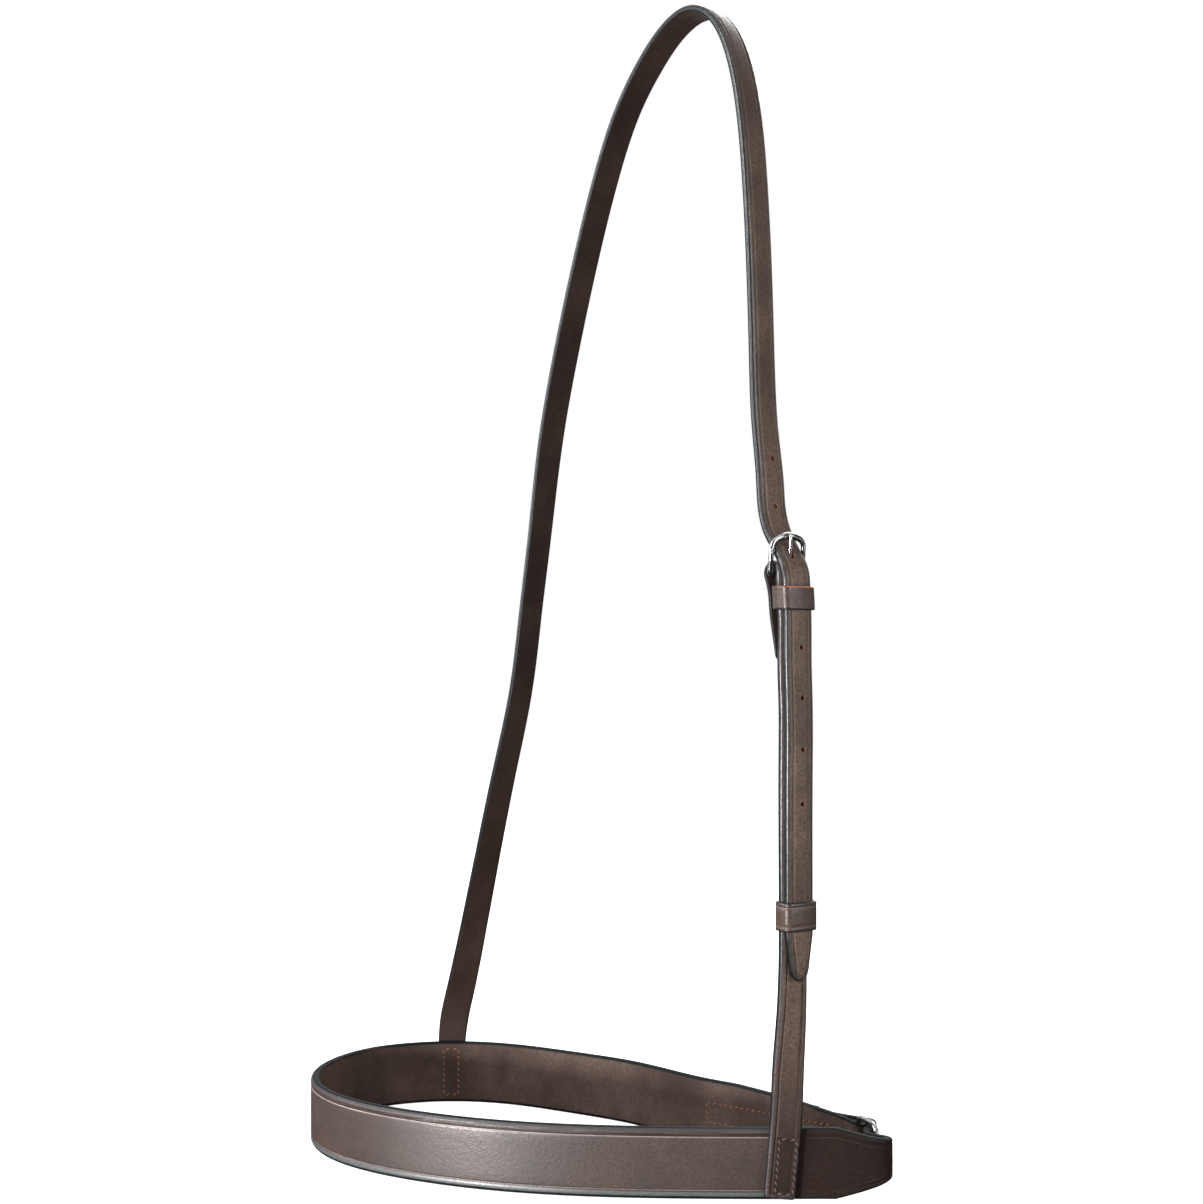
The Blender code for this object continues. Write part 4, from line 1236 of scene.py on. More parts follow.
@dataclass
class NoseBand:
    """Wide band that goes round the nose and jaw, with its turned-back end and its billet."""

    node: str = "nose_band"
    turnback_length: float = 86 * MM
    billet_end: float = 66 * MM
    row: tuple[float, float] = (9.6 * MM, 70 * MM)
    row_start: float = 12 * MM

    def control(self) -> Array:
        """Control points with half width and thickness, in metres."""
        g = GAUGE
        thin = g.turnback_thickness / g.band_thickness
        billet = g.billet_thickness / g.band_thickness
        half = g.turnback_width / 2 / MM
        turned_out = g.turnback_out / MM
        closed = g.closed_out / MM
        radius = (g.bar_radius + g.rest_gap + g.turnback_thickness / 2) / MM
        rows = [(OFF, -self.turnback_length / MM, closed, half * 0.94, thin * 0.7)]
        rows += [(OFF, -back, out, half, thin) for back, out in (
            (80, closed), (76, closed), (60, turned_out), (56, turned_out), (40, turned_out),
            (25, turned_out), (12, turned_out), (5, turned_out + 0.5), (0, radius))]
        rows += [(OFF, radius * math.cos(a), radius * math.sin(a), half, thin)
                 for a in np.radians(np.arange(67.5, -90, -22.5))]
        rows += [(OFF, -back, (g.off_face - keep * g.band_thickness / 2) / MM, width, keep)
                 for back, width, keep in ((0, 7.8, thin), (5, 9.2, 0.64), (14, 11.0, 0.82), (26, 12.6, 1.0),
                                           (42, 14.3, 1.0), (66, 15.9, 1.0), (86, 16, 1.0))]
        found = [(*placed(frame, along, out)[:2], width, keep) for frame, along, out, width, keep in rows]
        found += [(x, y, 16.0, 1.0) for x, y in (
            (40, 25.0), (21.5, 42.8), (2.5, 55.8), (-16.4, 67.0), (-36, 77.4), (-62, 85.2), (-73.4, 85.9),
            (-84, 85.1), (-96, 82.0), (-110, 75.3), (-127, 56.5), (-135.6, 34), (-136.5, 13), (-131, -6.5),
            (-120, -24), (-103, -40), (-80, -54.2), (-50, -66.8), (-20, -74.6), (12, -79), (48, -81),
            (88.5, -81.5), (112, -81.4))]
        found += [(127.0, -80.8, 11.9, 1.0), (134.0, -77.6, 10.0, 0.95), (136.9, -71.5, 9.0, 0.9)]
        half = g.billet_width / 2 / MM
        end = self.billet_end / MM
        lie = g.billet_out / MM
        rows = [(REAR, 20.5, -2.3, 1), (REAR, 15.5, -1.6, 1), (REAR, 11, 0.9, 1), (REAR, 7.0, 3.8, 1),
                (OFF, 3.2, 6.0, 1), (OFF, -1.5, 6.05, 1), (OFF, -6, 5.6, 1), (OFF, -13, lie, 1),
                (OFF, -30, lie, 1), (OFF, 11 - end, lie, 1), (OFF, 2.4 - end, lie, 0.6),
                (OFF, -end, lie, 0.32)]
        found += [(*placed(frame, along, out)[:2], half * share, billet) for frame, along, out, share in rows]
        height = g.band_height / 2 / MM
        return in_metres([(x, y, height, width, keep) for x, y, width, keep in found], MM, g.band_thickness)

    def strip(self) -> Strip:
        """Stations of the band."""
        line = SmoothLine(self.control())
        kept = pick_stations(line, run=2.2 * MM, turn=3 * DEGREE, radius=10 * MM,
                             seams=(GAUGE.near_spot, GAUGE.off_spot))
        sizes = line.columns(kept)
        return Strip(line.at(kept), np.tile((0.0, 0.0, -1.0), (len(kept), 1)), sizes[:, 0], sizes[:, 1])

    def build(self, wardrobe: Wardrobe) -> None:
        """Model the band, punch it and sew its rear row."""
        strip = self.strip()
        section = StrapSection(GAUGE.band_height / 2, crease=3.9 * MM, crease_depth=0.3 * MM)
        near, off = strip.nearest(GAUGE.near_spot), strip.nearest(GAUGE.off_spot)
        turned = (GAUGE.seam_box[1], GAUGE.seam_box[0])
        presses = [seam_channel(strip.nearest(self.row_middle()), self.row), seam_channel(near, turned),
                   seam_channel(off, turned)]
        band = strap_piece("nose_band_leather", strip, section, lambda a, s: sum(p(a, s) for p in presses))
        # From the near seam to its end the band gets the finish painted darker as shade.
        dress_strap(band, wardrobe.band, wardrobe.punched, (near, strip.distances[-1]))
        slot = slot_punch(size=(*TONGUE_SLOT, 10 * MM), centre=(0, 0.8 * MM, 0), frame=OFF)
        punch(band, [slot, *tongue_punches(REAR)], wardrobe)
        settle(band, self.node, "noseband")
        self.sew(wardrobe)

    def row_middle(self) -> Place:
        """Middle of the rear row on the band's off end."""
        back = -(self.row_start + self.row[1] / 2) / MM
        return tuple(v * MM for v in placed(OFF, back, GAUGE.off_face / MM - 2))

    def sew(self, wardrobe: Wardrobe) -> None:
        """Rows that hold the turned-back end, on the turned-back leather and on the inner face."""
        middle = self.row_start + self.row[1] / 2
        g = GAUGE

        def over_turnback(along: float) -> float:
            """Height of the turned-back leather's outer face, which closes on the band at its end."""
            closing = min(max((middle - along - 60 * MM) / (16 * MM), 0.0), 1.0)
            drop = g.turnback_out - g.closed_out
            return g.turnback_out + g.turnback_thickness / 2 - drop * closing

        rear = OFF @ Matrix.Translation((0, -middle, 0))
        sew_seam("rear_turnback", rear, self.row, (over_turnback, g.off_face - g.band_thickness), wardrobe)


def pin_punch(centre: Vector, axis: Vector, radius: float, length: float) -> Piece:
    """Round punch through a strap, as a cylinder along an axis."""
    deselect()
    turn = Vector((0, 0, 1)).rotation_difference(axis).to_euler()
    spot = Vector(centre) - Vector(PLAN_MIDDLE)
    bpy.ops.mesh.primitive_cylinder_add(vertices=24, radius=radius, depth=length, location=spot,
                                        rotation=turn)
    return bpy.context.object


def slot_punch(size: Sequence[float], centre: Sequence[float], frame: Matrix) -> Piece:
    """Slot punch with round corners, placed in a local frame."""
    deselect()
    bpy.ops.mesh.primitive_cube_add(size=1.0)
    cutter = bpy.context.object
    cutter.data.transform(Matrix.Diagonal((*size, 1.0)))
    spot = frame @ Matrix.Translation(Vector(centre))
    cutter.data.transform(Matrix.Translation(Vector(-PLAN_MIDDLE)) @ spot)
    rounding = cutter.modifiers.new("Corners", "BEVEL")
    rounding.width = 1.2 * MM
    rounding.segments = 4
    finish_modifier(cutter, "Corners")
    return cutter


def tongue_punches(frame: Matrix, hole: float = 1.5 * MM) -> list[Piece]:
    """Hole that a tongue stands in, wide enough for its small lift.

    Args:
        frame: frame of the buckle's heel bar.
        hole: radius of the hole.

    Returns:
        The punches.
    """
    wrap = GAUGE.bar_radius + GAUGE.rest_gap + Buckle.tongue_radius
    found = []
    for lift in np.radians(TONGUE_LIFTS):
        slope = math.atan(Buckle.tongue_slope()) + lift
        axis = frame.to_3x3() @ Vector((0, math.cos(slope), math.sin(slope)))
        start = frame @ Vector((0, -math.sin(lift) * wrap, math.cos(lift) * wrap))
        found.append(pin_punch(start + axis * 10 * MM, axis, hole, 26 * MM))
    return found


def punch(piece: Piece, cutters: list[Piece], wardrobe: Wardrobe) -> None:
    """Cut holes whose walls are undyed leather, and smooth the piece again.

    Args:
        piece: the strap.
        cutters: the punches, which are used up.
        wardrobe: the finishes.
    """
    for cutter in cutters:
        dress(cutter, wardrobe.punched)
        cut = piece.modifiers.new("Punch", "BOOLEAN")
        cut.operation = "DIFFERENCE"
        cut.solver = "EXACT"
        cut.material_mode = "TRANSFER"
        cut.object = cutter
        finish_modifier(piece, "Punch")
        bpy.data.objects.remove(cutter, do_unlink=True)
    active(piece)
    bpy.ops.object.shade_smooth_by_angle(angle=math.radians(50))


# Outline of the narrow straps
NARROW = StrapSection(GAUGE.strap_width / 2, crown=0.12 * MM)


@dataclass
class Sliphead:
    """Long strap from its point on the near cheek, over the poll, to the off side of the band."""

    node: str = "sliphead_strap"
    hole_radius: float = 1.1 * MM
    hole_heights: tuple[float, ...] = (178.3, 202.5, 225.4, 247.9, 269.0, 310.8, 332.5)
    hole_side: float = 0.9 * MM

    def control(self) -> Array:
        """Control points with turn, half width and roll."""
        g = GAUGE
        half = g.strap_width / 2 / MM
        leg = g.leg_width / 2 / MM
        turn = math.degrees(g.cheek_turn)
        foot = g.stack_place[2] / MM
        tail_out = g.tail_out / MM
        rows = [(*placed(STACK, z - foot, tail_out), turn, width, 0) for z, width in (
            (99.5, 2.2), (101.3, 3.8), (104, 4.8), (120, 7.25), (150, 7.25), (190, 7.25), (222, 7.25))]
        rows += [(*placed(STACK, 243 - foot, tail_out, g.heel_shift / 3 / MM), turn, half, 0)]
        rows += [(*placed(CHEEK, along, out, side), turn, width, 0) for along, out, side, width in (
            (-16, 7.7, 0, 7.25), (-7, 7.8, 0, 7.25), (-0.6, 7.7, 0, 7.25), (4.2, 6.2, 0, 7.2),
            (8.8, 3.0, 0, 7.0), (12.2, 0.6, 0, 7.0), (15.2, -1.5, -0.1, 7.1), (19, -3.6, -0.4, 7.25),
            (26, -6.2, -0.5, 7.25))]
        rows += [(x, y, z, angle, leg, 0) for x, y, z, angle in (
            (82.7, -77.6, 323, 36), (80.8, -76.0, 345, 40), (79.3, -74.5, 380, 42), (78.2, -73.3, 420, 42),
            (76.5, -71.6, 458, 42), (73.8, -68.8, 492, 42))]
        rows += [(x, y, z, 42, leg, roll) for x, y, z, roll in (
            (69.8, -64.7, 516.0, 3), (64.0, -58.6, 533.1, 4), (57.8, -52.2, 541.4, 5),
            (50.7, -44.9, 543.9, 6), (43.6, -37.5, 541.3, 6), (36.7, -30.5, 535.0, 5), (29, -22.6, 524.6, 4))]
        rows += [(x, y, z, angle, leg, 0) for x, y, z, angle in (
            (19.3, -12.7, 507, 42), (9.3, -2.4, 479, 42), (-1.5, 8.8, 438, 42), (-11.5, 19.0, 393, 42),
            (-19.8, 27.6, 347, 43), (-25.5, 33.6, 299.6, 47), (-29.8, 38.4, 265, 48), (-35.2, 44.0, 223, 47),
            (-44.0, 53.3, 181, 43), (-53.4, 64.0, 136, 37), (-62.1, 75.0, 93, 27), (-69.2, 84.0, 60, 12),
            (-73.0, 88.6, 42, 3))]
        off_x, off_y = g.off_seam
        rows += [(off_x / MM, off_y / MM, z, 0, half, 0) for z in (30, 18, 8, 0.6)]
        return in_metres(rows, DEGREE, MM, DEGREE)

    def strip(self) -> Strip:
        """Stations of the sliphead."""
        line = SmoothLine(self.control())
        kept = pick_stations(line, run=2.4 * MM, turn=3 * DEGREE, radius=15 * MM, seams=(GAUGE.off_spot,))
        turns, halves, rolls = line.columns(kept).T
        sides = np.column_stack([np.cos(turns), np.sin(turns), -np.tan(rolls)])
        return Strip(line.at(kept), sides, halves, np.full(len(kept), GAUGE.strap_thickness))

    def build(self, wardrobe: Wardrobe) -> None:
        """Model the sliphead, punch its holes and sew its off end."""
        g = GAUGE
        strip = self.strip()
        off = strip.nearest(g.off_spot)
        piece = strap_piece("sliphead_leather", strip, NARROW, seam_channel(off, g.seam_box))
        # The sewn end gets the finish painted darker as shade.
        dress_strap(piece, wardrobe.strap, wardrobe.punched, (off - g.seam_box[1] / 2, strip.distances[-1]))
        punches = tongue_punches(CHEEK)
        poll = int(np.argmax(strip.places[:, 2]))
        for height in np.array(self.hole_heights) * MM:
            centre, side, out = (
                Vector([np.interp(height, strip.places[:poll, 2], table[:poll, i]) for i in range(3)])
                for table in (strip.places, strip.sides, strip.outs))
            punches.append(pin_punch(centre + side * self.hole_side, out, self.hole_radius, 12 * MM))
        punch(piece, punches, wardrobe)
        settle(piece, self.node, "noseband")
        self.sew(wardrobe)

    def sew(self, wardrobe: Wardrobe) -> None:
        """Box of stitches that holds the off end to the band."""
        g = GAUGE
        frame = local_axes(g.off_spot, (0, 0, 1), (0, 1, 0))
        lifts = (g.seam_out, g.seam_in - 0.15 * MM)
        sew_seam("off_seam", frame, g.seam_box, lifts, wardrobe)


@dataclass
class CheekStrap:
    """Near cheek strap: sewn to the band, folded round the cheek buckle and turned back."""

    node: str = "near_cheek_strap"
    turnback_start: float = 16 * MM
    turnback_length: float = 38 * MM
    fold_bulge: float = 3.0 * MM
    foot: float = 1.3 * MM
    row_length: float = 16 * MM
    row_middle: float = 27 * MM

    def hang(self, along: float) -> float:
        """How far the turned-back end hangs behind the heel bar, this far below it, in millimetres."""
        start = self.turnback_start / MM
        share = (along - start) / (self.turnback_length / MM - start)
        return 3.6 - share * 2.6

    def keep(self, along: float) -> float:
        """Share of the leather's thickness that the turned-back end keeps, this far down in millimetres."""
        length = self.turnback_length / MM
        return float(np.interp(along, (self.turnback_start / MM, length * 0.7, length), (0.8, 0.7, 0.5)))

    def control(self) -> Array:
        """Control points with turn, half width and thickness."""
        g = GAUGE
        half = g.strap_width / 2 / MM
        turn = math.degrees(g.cheek_turn)
        radius = g.main_out / MM
        foot = g.stack_place[2] / MM
        seam_x, seam_y = (v / MM for v in g.near_seam)
        slope = math.tan(g.near_seam_lean)
        foot_turn = math.degrees(g.near_seam_turn)
        rows = [(seam_x + (z - g.seam_centre_z / MM) * slope, seam_y, z, foot_turn, half, 1.0)
                for z in (self.foot / MM, 12, 24, 33)]
        rows += [(89.9, -86.1, 58, 9, half, 1.0), (91.5, -86.8, 86, 24, half, 1.0)]
        rows += [(*placed(STACK, z - foot, radius), turn, half, 1.0) for z in (108, 150, 200, 222)]
        rows += [(*placed(STACK, 240 - foot, radius, g.heel_shift / 3 / MM), turn, half, 1.0)]
        rows += [(*placed(CHEEK, along, radius), turn, half, 1.0) for along in (-20, -12, -4, 0)]
        for degrees, keep in zip(np.arange(67.5, -90, -22.5), (1.0, 0.98, 0.95, 0.92, 0.88, 0.85, 0.82)):
            reach = radius + self.fold_bulge / MM * (90 - degrees) / 180
            angle = math.radians(degrees)
            rows.append((*placed(CHEEK, reach * math.cos(angle), reach * math.sin(angle)), turn, half, keep))
        rows += [(*placed(CHEEK, -along, -out), turn, half, keep) for along, out, keep in (
            (0, 6.1, 0.8), (2.5, 5.5, 0.78), (6, 4.4, 0.78), (11, 3.7, 0.8))]
        length = self.turnback_length / MM
        rows += [(*placed(CHEEK, -along, -self.hang(along)), turn, half * width, self.keep(along))
                 for along, width in ((self.turnback_start / MM, 1.0), (length * 0.7, 1.0), (length, 0.96))]
        return in_metres(rows, DEGREE, MM, g.strap_thickness)

    def strip(self) -> Strip:
        """Stations of the cheek strap."""
        line = SmoothLine(self.control())
        kept = pick_stations(line, run=2.4 * MM, turn=4 * DEGREE, radius=15 * MM, seams=(GAUGE.near_spot,))
        turns, halves, thicknesses = line.columns(kept).T
        sides = np.column_stack([np.cos(turns), np.sin(turns), np.zeros(len(kept))])
        return Strip(line.at(kept), sides, halves, thicknesses)

    def build(self, wardrobe: Wardrobe) -> None:
        """Model the strap, cut its tongue slot and sew it."""
        g = GAUGE
        strip = self.strip()
        near = strip.nearest(g.near_spot)
        channel = seam_channel(near, g.seam_box, g.near_seam_side)
        piece = strap_piece("near_cheek_leather", strip, NARROW, channel)
        # The foot at the band gets the finish painted darker as shade.
        dress_strap(piece, wardrobe.cheek, wardrobe.punched, (0.0, near + g.seam_box[1] / 2))
        slot = slot_punch(size=(*TONGUE_SLOT, 20 * MM), centre=(0, 1.0 * MM, -3.0 * MM), frame=CHEEK)
        punch(piece, [slot], wardrobe)
        settle(piece, self.node, "noseband")
        self.sew(wardrobe)

    def sew(self, wardrobe: Wardrobe) -> None:
        """Box of stitches at the band, and the one that holds the turned-back end."""
        g = GAUGE
        out = (math.sin(g.near_seam_turn), -math.cos(g.near_seam_turn), 0)
        lean = Matrix.Rotation(-g.near_seam_lean, 4, "Z") @ Matrix.Translation((g.near_seam_side, 0, 0))
        frame = local_axes(g.near_spot, (0, 0, 1), out) @ lean
        sew_seam("near_seam", frame, g.seam_box, (g.seam_out, g.seam_in), wardrobe)

        def behind(along: float) -> float:
            """Height of the turned-back leather's far face."""
            below = (self.row_middle - along) / MM
            return -(self.hang(below) * MM + self.keep(below) * g.strap_thickness / 2)

        front = CHEEK @ Matrix.Translation((0, -self.row_middle, 0))
        lifts = (g.main_out + g.strap_thickness / 2, behind)
        sew_seam("cheek_turnback", front, (g.seam_box[0], self.row_length), lifts, wardrobe)


@dataclass
class Keeper:
    """Leather loop round a stack of straps."""

    node: str
    body: str
    frame: Matrix
    width: float
    low: float
    high: float
    height: float
    creased: bool = True
    corner: float = 1.9 * MM
    bow: float = 0.25 * MM
    slope: float = 0.0
    pinch: float = 0.0

    def line(self) -> tuple[Array, Array]:
        """Inner line of the loop in its frame, as places and outward directions in X and Z."""
        half = self.width / 2
        corner = self.corner
        places: list[tuple[float, float]] = []
        outs: list[tuple[float, float]] = []
        corners = [(half - corner, self.high - corner, 0), (corner - half, self.high - corner, 90),
                   (corner - half, self.low + corner, 180), (half - corner, self.low + corner, 270)]
        for (x, z, start), (next_x, next_z, _) in zip(corners, corners[1:] + corners[:1]):
            for degrees in np.linspace(start, start + 90, 7):
                angle = math.radians(degrees)
                outs.append((math.cos(angle), math.sin(angle)))
                places.append((x + corner * outs[-1][0], z + corner * outs[-1][1]))
            for share in np.linspace(0, 1, 11)[1:-1]:
                reach = corner + self.bow * math.sin(math.pi * share)
                outs.append(outs[-1])
                places.append((x + (next_x - x) * share + outs[-1][0] * reach,
                               z + (next_z - z) * share + outs[-1][1] * reach))
        return np.array(places), np.array(outs)

    def section(self) -> list[Row]:
        """Outline of the leather.

        Returns:
            Rows of the place along the straps, the height over the loop's inner line, and the distance
            from the leather's edge in millimetres.
        """
        half = self.height / 2
        thick = GAUGE.keeper_thickness
        pressed = ((1.55, 0.02), (1.8, 0.16), (2.0, 0.16), (2.25, 0.02)) if self.creased else ()
        steps = [(half - offset * MM, thick - sunk * MM, offset)
                 for offset, sunk in ((0.4, 0.0), (1.2, 0.0), *pressed)]
        steps += [(half * 0.35, thick, half / MM * 0.65), (0.0, thick, half / MM)]
        edge = [(-half + 0.12 * MM, thick - 0.14 * MM, 0.12), (-half, thick - 0.45 * MM, 0.0),
                (-half, 0.35 * MM, 0.0), (-half + 0.1 * MM, 0.1 * MM, 0.1), (-half + 0.35 * MM, 0.0, 0.3)]
        inner = [(-half * 0.4, 0.0, 2.0), (half * 0.4, 0.0, 2.0)]

        def mirrored(rows: list[Row]) -> list[Row]:
            """The same rows at the loop's other edge, in their order round the leather."""
            return [(-y, out, offset) for y, out, offset in reversed(rows)]

        return steps + mirrored(steps[:-1]) + edge + inner + mirrored(edge)

    def build(self, wardrobe: Wardrobe) -> None:
        """Model the loop and dress it."""
        places, outs = self.line()
        section = self.section()
        rings = np.empty((len(places), len(section), 3))
        relief = np.empty((len(places), len(section), 2))
        for j, (y, out, offset) in enumerate(section):
            x = places[:, 0] + outs[:, 0] * out
            z = places[:, 1] + outs[:, 1] * out
            held = y * (1 - self.pinch * np.clip(outs[:, 0], 0, 1) ** 2)
            rings[:, j] = moved(self.frame, np.column_stack([x, held + x * self.slope, z]))
            relief[:, j] = offset, 1.0 if y > self.height * 0.45 and not self.creased else 0.0
        piece = looped(self.node + "_leather", rings, relief)
        set_corners(piece, "along", self.unrolled(piece))
        dress(piece, wardrobe.creased_keeper if self.creased else wardrobe.plain_keeper)
        settle(piece, self.node, self.body)

    def unrolled(self, piece: Piece) -> Array:
        """Each vertex's angle round the loop and its height, for the smears of the dye."""
        back = (Matrix.Translation(Vector(-PLAN_MIDDLE)) @ self.frame).inverted()
        flat = moved(back, np.array([v.co for v in piece.data.vertices]))
        mean_radius = 8 * MM
        return np.column_stack([np.arctan2(flat[:, 2], flat[:, 0]) * mean_radius, flat[:, 1]])


@dataclass
class Buckle:
    """Cast buckle: a round-cornered frame on its heel bar, and the tongue that turns on it."""

    prefix: str
    frame: Matrix
    inner_width: float
    bodies: tuple[str, str]
    corner: float = 4.8 * MM
    bow: float = 0.9 * MM
    tongue_reach: float = 17.4 * MM
    front_half_width: float = 1.7 * MM
    front_start: float = 0.72
    tongue_radius: ClassVar[float] = 1.0 * MM
    tongue_gap: ClassVar[float] = 0.28 * MM
    front_half_depth: ClassVar[float] = 1.3 * MM
    length: ClassVar[float] = 17.0 * MM
    rise: ClassVar[float] = 2.8 * MM

    @classmethod
    def tongue_rest(cls) -> float:
        """Height of the tongue's middle where it lies on the front bar."""
        return cls.rise + cls.front_half_depth + cls.tongue_radius + cls.tongue_gap

    @classmethod
    def tongue_slope(cls) -> float:
        """Rise of the tongue for each metre along."""
        return (cls.tongue_rest() - GAUGE.bar_radius - GAUGE.rest_gap - cls.tongue_radius) / cls.length

    def outline(self) -> Array:
        """Centre line of the frame's bars in its own frame."""
        half = self.inner_width / 2 + GAUGE.bar_radius
        heel = 2.0 * MM
        shoulder = self.length - self.bow - self.corner
        right = [(x, 0.0) for x in np.linspace(0.0, half - heel, 7)[:-1]]
        right += [(half - heel * (1 - math.sin(a)), heel * (1 - math.cos(a)))
                  for a in np.radians(np.arange(0, 91, 11.25))]
        right += [(half, y) for y in np.linspace(heel, shoulder, 9)[1:]]
        right += [(half - self.corner * (1 - math.cos(a)), shoulder + self.corner * math.sin(a))
                  for a in np.radians(np.arange(6, 76, 6))]
        last = right[-1]
        right += [(last[0] * share, last[1] + (self.length - last[1]) * (1 - share ** 2))
                  for share in np.linspace(1, 0, 9)[1:]]
        left = [(-x, y) for x, y in reversed(right[1:-1])]
        rising = [(x, y, self.rise * math.sin(math.pi / 2 * min(max(y / self.length, 0), 1)))
                  for x, y in right + left]
        return np.array(rising)

    def build_frame(self, wardrobe: Wardrobe) -> None:
        """Model the frame: thicker and flatter at the front, with a rest for the tongue."""
        line = self.outline()
        tangents = np.roll(line, -1, axis=0) - np.roll(line, 1, axis=0)
        tangents /= np.linalg.norm(tangents, axis=1)[:, None]
        ups = np.array([0.0, 0.0, 1.0]) - tangents[:, 2:] * tangents
        ups /= np.linalg.norm(ups, axis=1)[:, None]
        wide = np.cross(ups, tangents)
        start = self.front_start * self.length
        share = np.clip((line[:, 1] - start) / (self.length - start), 0, 1) ** 1.5
        radius = GAUGE.bar_radius
        across = radius + (self.front_half_width - radius) * share
        thick = radius + (self.front_half_depth - radius) * share
        rest_half_width, rest_depth = 1.5 * MM, 0.25 * MM
        rest = np.exp(-(line[:, 0] / rest_half_width) ** 2) * share * rest_depth
        angles = np.linspace(0, 2 * math.pi, 22, endpoint=False)
        top = np.clip(np.sin(angles), 0, 1)
        lift = thick[:, None] * np.sin(angles) - rest[:, None] * top
        local = (line[:, None, :] + (across[:, None] * np.cos(angles))[..., None] * wide[:, None, :]
                 + lift[..., None] * ups[:, None, :])
        rings = moved(self.frame, local)
        piece = looped(self.prefix + "_buckle_bow", rings, np.zeros((*rings.shape[:2], 2)), angle=80)
        dress(piece, wardrobe.steel)
        settle(piece, self.prefix + "_buckle_frame", self.bodies[0])

    def build_tongue(self, wardrobe: Wardrobe) -> None:
        """Model the tongue: a flattened loop round the heel bar and a tapered shank."""
        wrap = GAUGE.bar_radius + GAUGE.rest_gap + self.tongue_radius
        loop = [(wrap * math.cos(a), wrap * math.sin(a)) for a in np.radians(np.arange(-60, -271, -10))]
        slope = self.tongue_slope()
        reach = self.tongue_reach
        shank = [(y, wrap + slope * y) for y in np.linspace(0.04, 0.97, 18) * reach]
        tip = [(y, wrap + slope * reach - 0.05 * MM) for y in np.array([0.985, 0.995, 1.0]) * reach]
        flat = np.array(loop + shank + tip)
        places = moved(self.frame, np.column_stack([np.zeros(len(flat)), flat]))
        distances = np.concatenate(([0.0], np.cumsum(np.linalg.norm(np.diff(flat, axis=0), axis=1))))
        share = distances / distances[-1]
        radii = self.tongue_radius * np.interp(share, [0, 0.04, 0.3, 0.85, 0.96, 0.985, 1.0],
                                               [0.55, 0.8, 0.95, 0.85, 0.78, 0.6, 0.25])
        flats = self.tongue_radius * np.interp(share, [0, 0.04, 0.3, 0.6, 0.96, 0.985, 1.0],
                                               [0.7, 0.98, 0.98, 0.9, 0.8, 0.6, 0.25])
        side = self.frame.to_3x3() @ Vector((1, 0, 0))
        piece = tube_piece(self.prefix + "_tongue", places, side, radii, flats)
        dress(piece, wardrobe.steel)
        settle(piece, self.prefix + "_buckle_tongue", self.bodies[1])

    def build(self, wardrobe: Wardrobe) -> None:
        """Model both pieces."""
        self.build_frame(wardrobe)
        self.build_tongue(wardrobe)


def keepers() -> list[Keeper]:
    """The fixed and sliding keepers of the cheek and the two sewn keepers of the rear."""
    g = GAUGE
    width = g.strap_width + 2 * g.rest_gap
    front = g.tail_out + g.strap_thickness / 2 + g.rest_gap
    fixed = CHEEK @ Matrix.Translation((0, -10.8 * MM, 0))
    slide = STACK @ Matrix.Translation((0, 128.4 * MM - g.stack_place[2], 0))
    back = g.main_out - g.strap_thickness / 2 - g.rest_gap
    slack = 0.6 * MM
    found = [Keeper("cheek_fixed_keeper", "noseband", fixed, width, back - slack, front, 10.6 * MM,
                    creased=False, slope=-0.09, pinch=0.1),
             Keeper("cheek_sliding_keeper", "sliding_keeper", slide, width, back, front, 12.8 * MM)]
    width = g.billet_width + 2 * g.rest_gap
    low = g.off_face + g.rest_gap + g.keeper_thickness
    high = g.billet_out + g.billet_thickness / 2 + g.rest_gap
    for name, along in (("rear_keeper_by_buckle", 30 * MM), ("rear_keeper_by_point", 54 * MM)):
        rear = OFF @ Matrix.Translation((0, -along, 0))
        found.append(Keeper(name, "noseband", rear, width, low, high, 9 * MM))
    return found


# The studio

WHITE: Colour = (1.0, 1.0, 1.0)
BLACK_CLOTH: Colour = (0.02, 0.02, 0.02)


